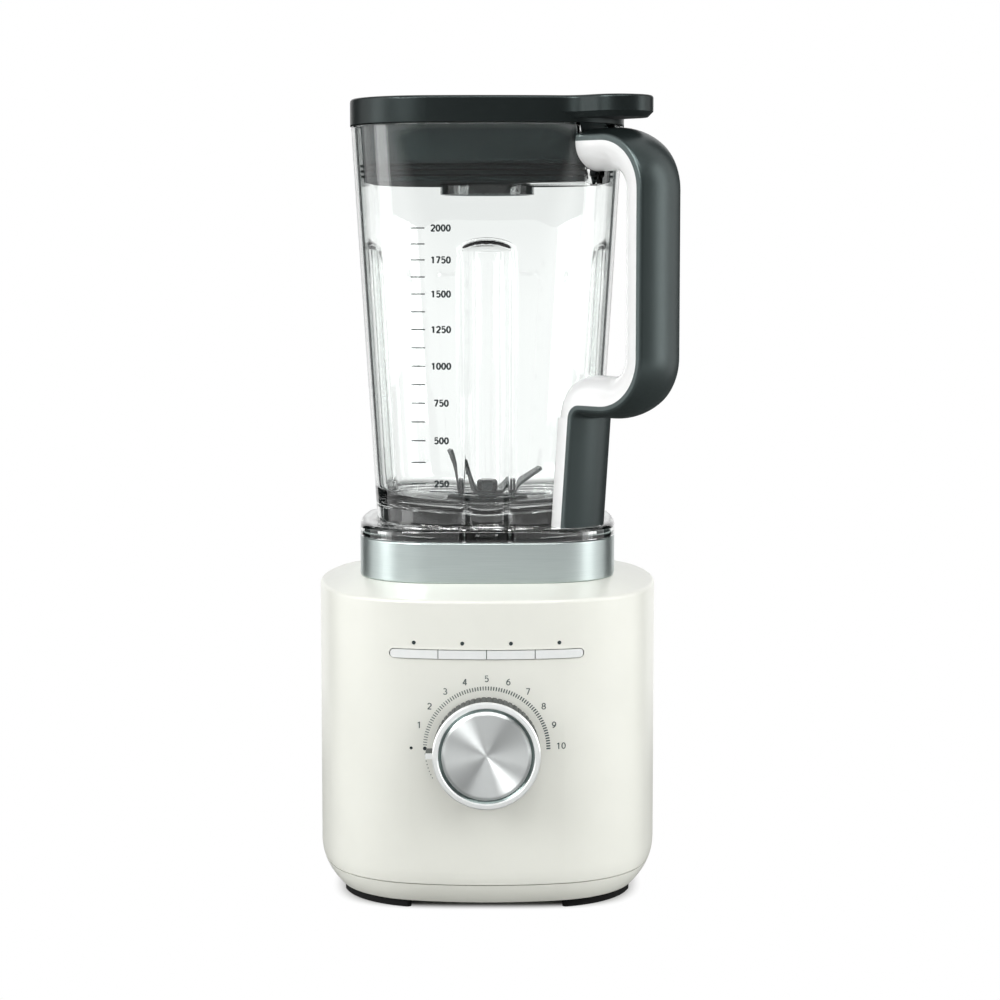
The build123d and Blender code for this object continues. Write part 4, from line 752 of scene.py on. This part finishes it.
def spun_profile(name, profile, material, body):
    """Carries (radius, y) points round the dial's axis; the ends close in points on the axis.

    x is radius times cosine, z is the dial's height plus radius times sine. The map has the
    way along the profile and the turn, in metres and in whole turns.
    """
    count = len(profile)
    turn = np.arange(DISC_TURNS) * 2 * np.pi / DISC_TURNS
    radius, y = profile[1:-1, :1], profile[1:-1, 1:]
    x, z = radius * np.cos(turn), DIAL_Z + radius * np.sin(turn)
    rings = np.stack([x, y + 0 * x, z], -1).reshape(-1, 3)
    ends = [(0, profile[0, 1], DIAL_Z), (0, profile[-1, 1], DIAL_Z)]
    index = np.arange(len(rings)).reshape(count - 2, DISC_TURNS)
    after = np.roll(index, -1, 1)
    walls = np.stack([index[:-1], index[1:], after[1:], after[:-1]], -1).reshape(-1, 4)
    first, last = len(rings), len(rings) + 1
    front = np.stack([np.full(DISC_TURNS, first), index[0], after[0]], -1)
    back = np.stack([np.full(DISC_TURNS, last), after[-1], index[-1]], -1)
    mesh = bpy.data.meshes.new(name)
    faces = walls.tolist() + front.tolist() + back.tolist()
    mesh.from_pydata(np.concatenate([rings, ends]).tolist(), [], faces)
    way = np.concatenate([[0], np.cumsum(np.linalg.norm(np.diff(profile, axis=0), axis=1))])
    row = np.concatenate([np.repeat(np.arange(1, count - 1), DISC_TURNS), [0, count - 1]])
    corner = np.zeros(len(mesh.loops), int)
    mesh.loops.foreach_get("vertex_index", corner)
    step = np.arange(DISC_TURNS)
    column = np.concatenate([np.tile(step, count - 2), [0, 0]])[corner].astype(float)
    sides = np.concatenate([np.full(len(walls), 4), np.full(2 * DISC_TURNS, 3)])
    face_of = np.repeat(np.arange(len(sides)), sides)
    lowest = np.tile(step, count - 1)[face_of]
    column = np.where(column < lowest, column + DISC_TURNS, column)
    column = np.where(corner >= len(rings), lowest + 0.5, column)
    chart = mesh.uv_layers.new(name="turning")
    chart.data.foreach_set("uv", np.stack([way[row[corner]], column / DISC_TURNS], -1).ravel())
    mesh.shade_smooth()
    mesh.set_sharp_from_angle(angle=math.radians(DISC_SHARP_DEG))
    mesh.materials.append(material)
    made = bpy.data.objects.new(name, mesh)
    bpy.context.scene.collection.objects.link(made)
    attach(made, body)
    print(name, "faces:", len(faces), "reach in mm:", round(profile[:, 0].max() / MM, 2))
    return made


def disc_profile():
    """Shallow dish, bevel, the groove's sloped wall that runs out to the ring, and the back."""
    front, back = disc_low.y, disc_high.y
    face = DISC_RADIUS - BEVEL
    r = np.linspace(0, face, 30)
    dish = np.stack([r, front + BEVEL * (1 - r / face)], -1)
    rest = [
        (face + 0.15 * MM, front + 0.02 * MM),  # the bevel's rounded start
        (face + 0.5 * BEVEL, front + 0.25 * BEVEL),
        (DISC_RADIUS - 0.05 * MM, front + 0.6 * BEVEL),
        (DISC_RADIUS, front + BEVEL + GROOVE_DROP),
        (GROOVE_RADIUS, front + GROOVE_RIM),
        (GROOVE_RADIUS, back),
        (DISC_RADIUS / 2, back),
        (0, back),
    ]
    return np.concatenate([dish, rest])


dial_disc = spun_profile("dial_disc", disc_profile(), finishes["spun_metal"], "dial")
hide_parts("dial_cap")

# %% [markdown]
# ## Printing
# The dial's scale and the jar's measure are screen printed. A picture could be laid over the
# wall, but it would blur when seen close. Each mark is an outline with a thickness of ink,
# drawn in the front view and then laid on the bowed wall behind it.

# %% Ink on a bowed wall


def closed_slabs(outlines):
    """Outlines as an array of marks, points and x z, made into faces of front, back and sides.

    Every mark has the same number of points n, so the faces are one pattern, shifted by n from
    mark to mark. The back rings follow after all the front ones.
    """
    marks, n, _ = outlines.shape
    flat = outlines.reshape(-1, 2)
    ring = np.arange(n)
    after = np.roll(ring, -1)
    first = (np.arange(marks) * n)[:, None]
    back = marks * n
    fronts = (first + ring).tolist()
    backs = (first + ring[::-1] + back).tolist()
    sides = np.stack([first + ring, first + ring + back, first + after + back, first + after], -1)
    return flat, fronts + backs + sides.reshape(-1, 4).tolist()


def lay(name, flat, faces, wall, material, body):
    """Puts marks on a wall: the front ring stands one ink thickness out, the back ring in it."""
    x, z = np.concatenate([flat, flat]).T
    out = np.repeat([1.0, -1.0], len(flat)) * INK
    points = np.stack([x, wall(x, z) - out, z], -1)
    mesh = bpy.data.meshes.new(name)
    mesh.from_pydata(points.tolist(), [], faces)
    mesh.materials.append(material)
    made = bpy.data.objects.new(name, mesh)
    bpy.context.scene.collection.objects.link(made)
    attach(made, body)
    print(name, "faces:", len(faces))
    return made


def rounds(centres, radius, n=24):
    """Discs: centre plus radius times the unit circle, anticlockwise in the front view."""
    turn = np.linspace(0, 2 * np.pi, n, endpoint=False)
    unit = np.stack([np.cos(turn), np.sin(turn)], -1)
    size = np.broadcast_to(np.asarray(radius, float), len(centres))
    return centres[:, None] + size[:, None, None] * unit


def bars(centres, turn, length, width):
    """Bars: a rectangle of length along the turned direction, moved to its centre."""
    along = np.stack([np.cos(turn), np.sin(turn)], -1)[:, None]
    across = np.stack([-np.sin(turn), np.cos(turn)], -1)[:, None]
    side = np.array([-1, 1, 1, -1])[None, :, None] / 2
    end = np.array([-1, -1, 1, 1])[None, :, None] / 2
    sizes = [np.broadcast_to(np.asarray(v, float), len(centres)) for v in (length, width)]
    far, wide = (v[:, None, None] for v in sizes)
    return centres[:, None] + along * side * far + across * end * wide


print("marks are", round(2 * INK / MM, 2), "mm of ink, half of it in the wall")

# %% [markdown]
# ## Figures
# The numbers are plain figures. A font could be used, but it would have to come from a file.
# Here each figure is a few pen lines and arcs on a field one unit high, and a pen line becomes
# a ribbon with a front, a back and sides.

# %% Pen lines of the figures


def arc(x, y, wide, high, first, last, n=14):
    """Points of an ellipse's arc between two angles in degrees."""
    turn = np.radians(np.linspace(first, last, n))
    return np.stack([x + wide * np.cos(turn), y + high * np.sin(turn)], -1)


ROUND_TOP = arc(0.28, 0.72, 0.18, 0.23, 90, 450, 25)
ROUND_FOOT = arc(0.28, 0.28, 0.22, 0.23, 90, 450, 25)
HOOK = np.concatenate([arc(0.28, 0.69, 0.21, 0.26, 165, -30), [(0.06, 0.05)]])
FLAG = [(0.47, 0.95), (0.13, 0.95), (0.1, 0.52)]
BOWL = np.concatenate([FLAG, arc(0.27, 0.34, 0.22, 0.29, 125, -145)])
SIX = [arc(0.28, 0.33, 0.21, 0.28, 90, 450, 25), arc(0.54, 0.33, 0.47, 0.62, 180, 100)]
STROKES = {
    "0": [arc(0.28, 0.5, 0.21, 0.45, 90, 450, 25)],
    "1": [[(0.1, 0.78), (0.32, 0.95)], [(0.3, 0.98), (0.3, 0.0)]],
    "2": [HOOK, [(0.03, 0.05), (0.51, 0.05)]],
    "3": [arc(0.26, 0.73, 0.19, 0.22, 150, -90), arc(0.26, 0.28, 0.23, 0.23, 90, -150)],
    "4": [[(0.39, 0.0), (0.39, 0.98)], [(0.37, 0.95), (0.05, 0.28)], [(0.02, 0.26), (0.54, 0.26)]],
    "5": [BOWL],
    "6": SIX,
    "7": [[(0.04, 0.95), (0.51, 0.95)], [(0.49, 0.95), (0.2, 0.0)]],
    "8": [ROUND_TOP, ROUND_FOOT],
    "9": [(0.56, 1.0) - stroke for stroke in SIX],
}
print("figures:", "".join(STROKES))

# %% Figures from pen lines
FIGURE_WIDE = 1.2
FIGURE_STEP = 0.64
FIGURE_START = 0.04


def ribbon(path, pen):
    """Left and right edge of a pen line: each point moved half a pen along its turn's bisector."""
    run = np.diff(path, axis=0)
    run /= np.linalg.norm(run, axis=1, keepdims=True)
    along = np.concatenate([run[:1], run]) + np.concatenate([run, run[-1:]])
    along /= np.linalg.norm(along, axis=1, keepdims=True)
    side = np.stack([-along[:, 1], along[:, 0]], -1) * pen / 2
    return path + side, path - side


def figures(name, texts, centres, height, pen, wall, material, body):
    """Numbers in one mesh. A text is a row of figures, and a figure is a few pen lines."""
    size = height * np.array([FIGURE_WIDE, 1.0])
    edges = []
    for text, centre in zip(texts, centres):
        for place, figure in enumerate(text):
            row = FIGURE_STEP * (place - len(text) / 2) + FIGURE_START
            shift = np.array([row, -0.5])
            for path in STROKES[figure]:
                left, right = ribbon(np.asarray(path, float), pen)
                edges.append((centre + size * (left + shift), centre + size * (right + shift)))
    flat = np.concatenate([np.concatenate(pair) for pair in edges])
    total, first, faces = len(flat), 0, []
    for left, right in edges:
        i = first + np.arange(len(left))
        j = i + len(left)
        rims = [(i[:-1], j[:-1], j[1:], i[1:])]
        rims.append(tuple(v + total for v in rims[0][::-1]))
        rims.append((i[:-1], i[1:], i[1:] + total, i[:-1] + total))
        rims.append((j[1:], j[:-1], j[:-1] + total, j[1:] + total))
        rims.append((j[:1], i[:1], i[:1] + total, j[:1] + total))
        rims.append((i[-1:], j[-1:], j[-1:] + total, i[-1:] + total))
        faces += np.concatenate([np.stack(rim, -1) for rim in rims]).tolist()
        first += 2 * len(left)
    return lay(name, flat, faces, wall, material, body)


ink = grey_moulding("screen_ink", ("#4C5453", "#555D5C"), 0.5, 0.4)
dark_ink = grey_moulding("dark_screen_ink", ("#14181A", "#1A1E20"), 0.5, 0.4)
print("inks:", ink.name, dark_ink.name)

# %% [markdown]
# ## Scale round the dial
# Fine ticks grow bolder from the slow end to the fast end, with the numbers outside them, two
# stops at the left and a trail of dots below. The marks could be copied round one by one, but
# an array of angles places them all at once.

# %% Dial scale
TICKS = 73
TICK_RADIUS = 31.4 * MM
TICK_LENGTH = 2.0 * MM
NUMBER_RADIUS = 36.3 * MM
LAST_NUMBER_RADIUS = 37.9 * MM
NUMBER_HEIGHT = 3.3 * MM
NUMBER_PEN = 0.14
NUMBER_STEP = math.radians(17.65)
FIRST_TICK = np.pi - 0.06
TICK_WIDTHS = (0.36 * MM, 0.72 * MM)
STOP_REACHES = (31.4 * MM, 38.4 * MM)
STOP_RADII = (1.0 * MM, 0.8 * MM)
TRAIL_TURNS = np.pi + np.linspace(0.09, 0.5, 8)
TRAIL_RADIUS = 0.28 * MM
dial_centre = np.array([0.0, DIAL_Z])


def round_dial(turn, radius):
    """Places on a circle round the dial, by angle from three o'clock."""
    return dial_centre + radius * np.stack([np.cos(turn), np.sin(turn)], -1)


sweep = np.linspace(FIRST_TICK, 0, TICKS)
boldness = np.linspace(*TICK_WIDTHS, TICKS)
ticks = bars(round_dial(sweep, TICK_RADIUS), sweep, TICK_LENGTH, boldness)
lay("dial_ticks", *closed_slabs(ticks), base_front, ink, "base")
reach = np.append(np.full(9, NUMBER_RADIUS), LAST_NUMBER_RADIUS)[:, None]
places = round_dial(np.pi / 2 + NUMBER_STEP * np.arange(4, -6, -1), reach)
speeds = map(str, range(1, 11))
figures("dial_numbers", speeds, places, NUMBER_HEIGHT, NUMBER_PEN, base_front, ink, "base")
stops = np.concatenate([round_dial(np.array([np.pi]), r) for r in STOP_REACHES])
lay("dial_stops", *closed_slabs(rounds(stops, STOP_RADII)), base_front, dark_ink, "base")
trail = round_dial(TRAIL_TURNS, TICK_RADIUS)
lay("dial_trail", *closed_slabs(rounds(trail, TRAIL_RADIUS, 12)), base_front, ink, "base")

# %% [markdown]
# ## Measure on the jar
# The jar carries a scale in steps of 250 ml. Equal steps would be wrong: the dished floor makes
# the first step tall, and the jar widens upwards, so the next ones stand closer and closer. The
# share of the height that each step reaches is written down, and half steps lie between.

# %% Jar measure
SCALE_STEPS = 8
SCALE_LOW_Z = 216.9 * MM
SCALE_HIGH_Z = 348.3 * MM
SCALE_STEP_ML = 250
SCALE_X = -35.2 * MM
SCALE_MARK = (7.2 * MM, 0.6 * MM)
VOLUME_X = -23.4 * MM
VOLUME_HEIGHT = 3.4 * MM
VOLUME_PEN = 0.22
STEP_SHARES = (0, 0.171, 0.319, 0.464, 0.607, 0.745, 0.877, 1)
level = np.interp(np.arange(2 * SCALE_STEPS - 1) / 2, np.arange(SCALE_STEPS), STEP_SHARES)
heights = SCALE_LOW_Z + (SCALE_HIGH_Z - SCALE_LOW_Z) * level
middle = np.stack([np.full(len(heights), SCALE_X), heights], -1)
marks = bars(middle, 0 * heights, *SCALE_MARK)
lay("jar_ticks", *closed_slabs(marks), jar_front, dark_ink, "jar")
volumes = [str(SCALE_STEP_ML * (i + 1)) for i in range(SCALE_STEPS)]
centres = np.stack([np.full(SCALE_STEPS, VOLUME_X), heights[::2]], -1)
figures("jar_numbers", volumes, centres, VOLUME_HEIGHT, VOLUME_PEN, jar_front, dark_ink, "jar")

# %% [markdown]
# ## Studio surround
# The blender stands in a white room. A sky picture would do, but a plain world keeps the colours
# true. The eye and the clear pieces see it as white. Mirrors see it white behind the object and
# dim in front, as in a studio whose camera side is dark, and only a part of it lights the rest.

# %% Surround
AMBIENT = 0.43
FRONT_DIM = 0.15
DIM_FROM = -0.5
WHITE_FROM = 0.3
world = bpy.data.worlds.new("studio")
bpy.context.scene.world = world
world.use_nodes = True
tree = world.node_tree
rays = add(tree, "LightPath", "Is Camera Ray").node.outputs
behind = add(tree, "SeparateXYZ", "Y", {"Vector": add(tree, "TexCoord", "Generated")})
span = {"From Min": DIM_FROM, "From Max": WHITE_FROM, "To Min": FRONT_DIM, "To Max": 1.0}
span |= {"Value": behind}
mirrored = add(tree, "MapRange", "Result", span, interpolation_type="SMOOTHSTEP")
mirrored = {"Factor": rays["Is Glossy Ray"], "A": AMBIENT, "B": mirrored}
strength = add(tree, "Mix", "Result", mirrored)
seen = {0: rays["Is Camera Ray"], 1: rays["Is Transmission Ray"]}
seen = add(tree, "Math", "Value", seen, operation="MAXIMUM")
strength = add(tree, "Mix", "Result", {"Factor": seen, "A": strength, "B": 1.0})
fill(tree, tree.nodes["Background"], {"Color": (1, 1, 1, 1), "Strength": strength})
print("surround nodes:", len(tree.nodes))

# %% [markdown]
# ## Floor
# The floor is grey paper that glows. A sweep that curves up behind would hide the horizon, but a
# wide
# flat sheet is enough here: away from the feet it glows plain white to the eye, to mirrors and to
# clear pieces. Near the feet, in a patch the shape of the base, the glow fades to the grey paper:
# painted shade, in which the lamps also cast the real contact shadow. For mirrors the glow is
# dim close to the object, as painted shade, and towards the dark camera side.

# %% Floor sheet
FLOOR_HALF = 8.0
floor_mesh = bpy.data.meshes.new("floor")
corners = [(-1, -1, 0), (1, -1, 0), (1, 1, 0), (-1, 1, 0)]
floor_mesh.from_pydata((np.array(corners, float) * FLOOR_HALF).tolist(), [], [(0, 1, 2, 3)])
floor = bpy.data.objects.new("floor", floor_mesh)
bpy.context.scene.collection.objects.link(floor)
print("floor side in m:", 2 * FLOOR_HALF)

# %% Paper of the floor
SHADE_NEAR = 0.62
SHADE_FAR = 0.86
# painted shade in reflections: as mirrors see it, the glow is dim near the object
MIRROR_DIM = 0.15
MIRROR_NEAR = (0.25, 0.6)
MIRROR_FAR = (-3.0, -2.0)
MIRROR_OVAL = (0.5, 1, 0)
paper, tree, shader, place = start("pale_paper")
layer(tree, shader, place, 60.0, colours=("#BCBCBA", "#C2C2C0"))
fill(tree, shader, {"Roughness": 0.9, "Specular IOR Level": 0.0})
rays = add(tree, "LightPath", "Is Camera Ray").node.outputs
oval = add(tree, "Mapping", "Vector", {"Vector": place, "Scale": MIRROR_OVAL})
away = add(tree, "VectorMath", "Value", {0: oval}, operation="LENGTH")
front = add(tree, "SeparateXYZ", "Y", {"Vector": place})
edges = []
for value, (dim_at, white_at) in ((away, MIRROR_NEAR), (front, MIRROR_FAR)):
    span = {"From Min": dim_at, "From Max": white_at, "To Min": MIRROR_DIM, "To Max": 1.0}
    edges.append(add(tree, "MapRange", "Result", span | {"Value": value}))
mirrored = add(tree, "Math", "Value", dict(enumerate(edges)), operation="MINIMUM")
mirrored = {"Factor": rays["Is Glossy Ray"], "A": 1.0, "B": mirrored}
strength = add(tree, "Mix", "Result", mirrored)
# painted shade: inside this footprint the white glow fades and the grey paper shows
shade_footprint = (1 / BASE_HALF_X, 1 / BASE_HALF_Y, 0)
plan = add(tree, "Mapping", "Vector", {"Vector": place, "Scale": shade_footprint})
squared = add(tree, "VectorMath", "Vector", {0: plan, 1: plan}, operation="MULTIPLY")
far = add(tree, "VectorMath", "Value", {0: squared}, operation="LENGTH")
span = {"Value": far, "From Min": SHADE_NEAR, "From Max": SHADE_FAR}
far = add(tree, "MapRange", "Result", span, interpolation_type="SMOOTHSTEP")
seen = rays["Is Camera Ray"]
for ray in ("Is Glossy Ray", "Is Transmission Ray"):
    seen = add(tree, "Math", "Value", {0: seen, 1: rays[ray]}, operation="MAXIMUM")
white = add(tree, "Math", "Value", {0: seen, 1: far}, operation="MULTIPLY")
glow = add(tree, "Emission", "Emission", {"Color": (1, 1, 1, 1), "Strength": strength})
mixed = add(tree, "MixShader", "Shader", {0: white, 1: shader.outputs["BSDF"], 2: glow})
fill(tree, tree.nodes["Material Output"], {"Surface": mixed})
floor_mesh.materials.append(paper)
print("paper nodes:", len(tree.nodes))

# %% [markdown]
# ## Soft boxes
# Two tall boxes beside the blender give the metal its bright bands. Two fills and a key over the
# camera light the enamel, and mirrors don't see them, so that they leave no spots. Two more boxes
# are seen by mirrors alone and draw the bright wedges on the dial. One big lamp would be simpler,
# but it could not place the bands and the wedges apart from the level of light.

# %% Lamps
AIM = (0, 0, 0.2)
LAMPS = (  # name, place and size in metres, power in watts, and the rays that don't see it
    ("left_box", (-1.45, -0.28, 0.5), (0.55, 1.5), 7, None),
    ("left_fill", (-1.3, -0.75, 0.75), (0.8, 0.8), 12, "visible_glossy"),
    ("right_box", (1.45, -0.28, 0.5), (0.55, 1.5), 7, None),
    ("right_fill", (1.3, -0.75, 0.75), (0.8, 0.8), 12, "visible_glossy"),
    ("key_box", (0.1, -1.3, 1.5), (0.6, 0.6), 2.8, "visible_glossy"),
    ("sheen_box", (-1.2, -1.35, 1.3), (1.0, 1.0), 45, "visible_diffuse"),
    ("brow_box", (0.25, -1.3, 1.7), (1.6, 0.5), 21, "visible_diffuse"),
)
for name, place, (width, height), power, unseen in LAMPS:
    data = bpy.data.lights.new(name, "AREA")
    data.shape = "RECTANGLE"
    data.size, data.size_y = width, height
    data.energy = power
    lamp = bpy.data.objects.new(name, data)
    lamp.location = place
    lamp.rotation_euler = (Vector(AIM) - Vector(place)).to_track_quat("-Z", "Y").to_euler()
    if unseen:
        setattr(lamp, unseen, False)
    bpy.context.scene.collection.objects.link(lamp)
print("lamps:", [row[0] for row in LAMPS])

# %% [markdown]
# ## Grey cards
# Clear things are seen by what they bend. Photographers stand dark cards just outside the
# picture, and the jar's edges bend them in as thin dark lines. Darker edges in the plastic
# itself would look wrong from any other side, so the cards are used here as well. They throw no
# shadow, and neither the camera nor the enamel sees them.

# %% Cards
CARD_X = 0.36
CARD_Y = 0.12
CARD_DEEP = 0.35
CARD_TALL = 0.9
card_paper = grey_moulding("grey_card", ("#2E3232", "#343838"), 0.9, 5.0)
for name, x in (("left_card", -CARD_X), ("right_card", CARD_X)):
    y, back = CARD_Y, CARD_Y + CARD_DEEP
    mesh = bpy.data.meshes.new(name)
    outline = [(x, y, 0), (x, back, 0), (x, back, CARD_TALL), (x, y, CARD_TALL)]
    mesh.from_pydata(outline, [], [(0, 1, 2, 3)])
    mesh.materials.append(card_paper)
    made = bpy.data.objects.new(name, mesh)
    for ray in ("visible_camera", "visible_diffuse", "visible_shadow"):
        setattr(made, ray, False)
    bpy.context.scene.collection.objects.link(made)
    print(name, "at x in mm:", round(x / MM))
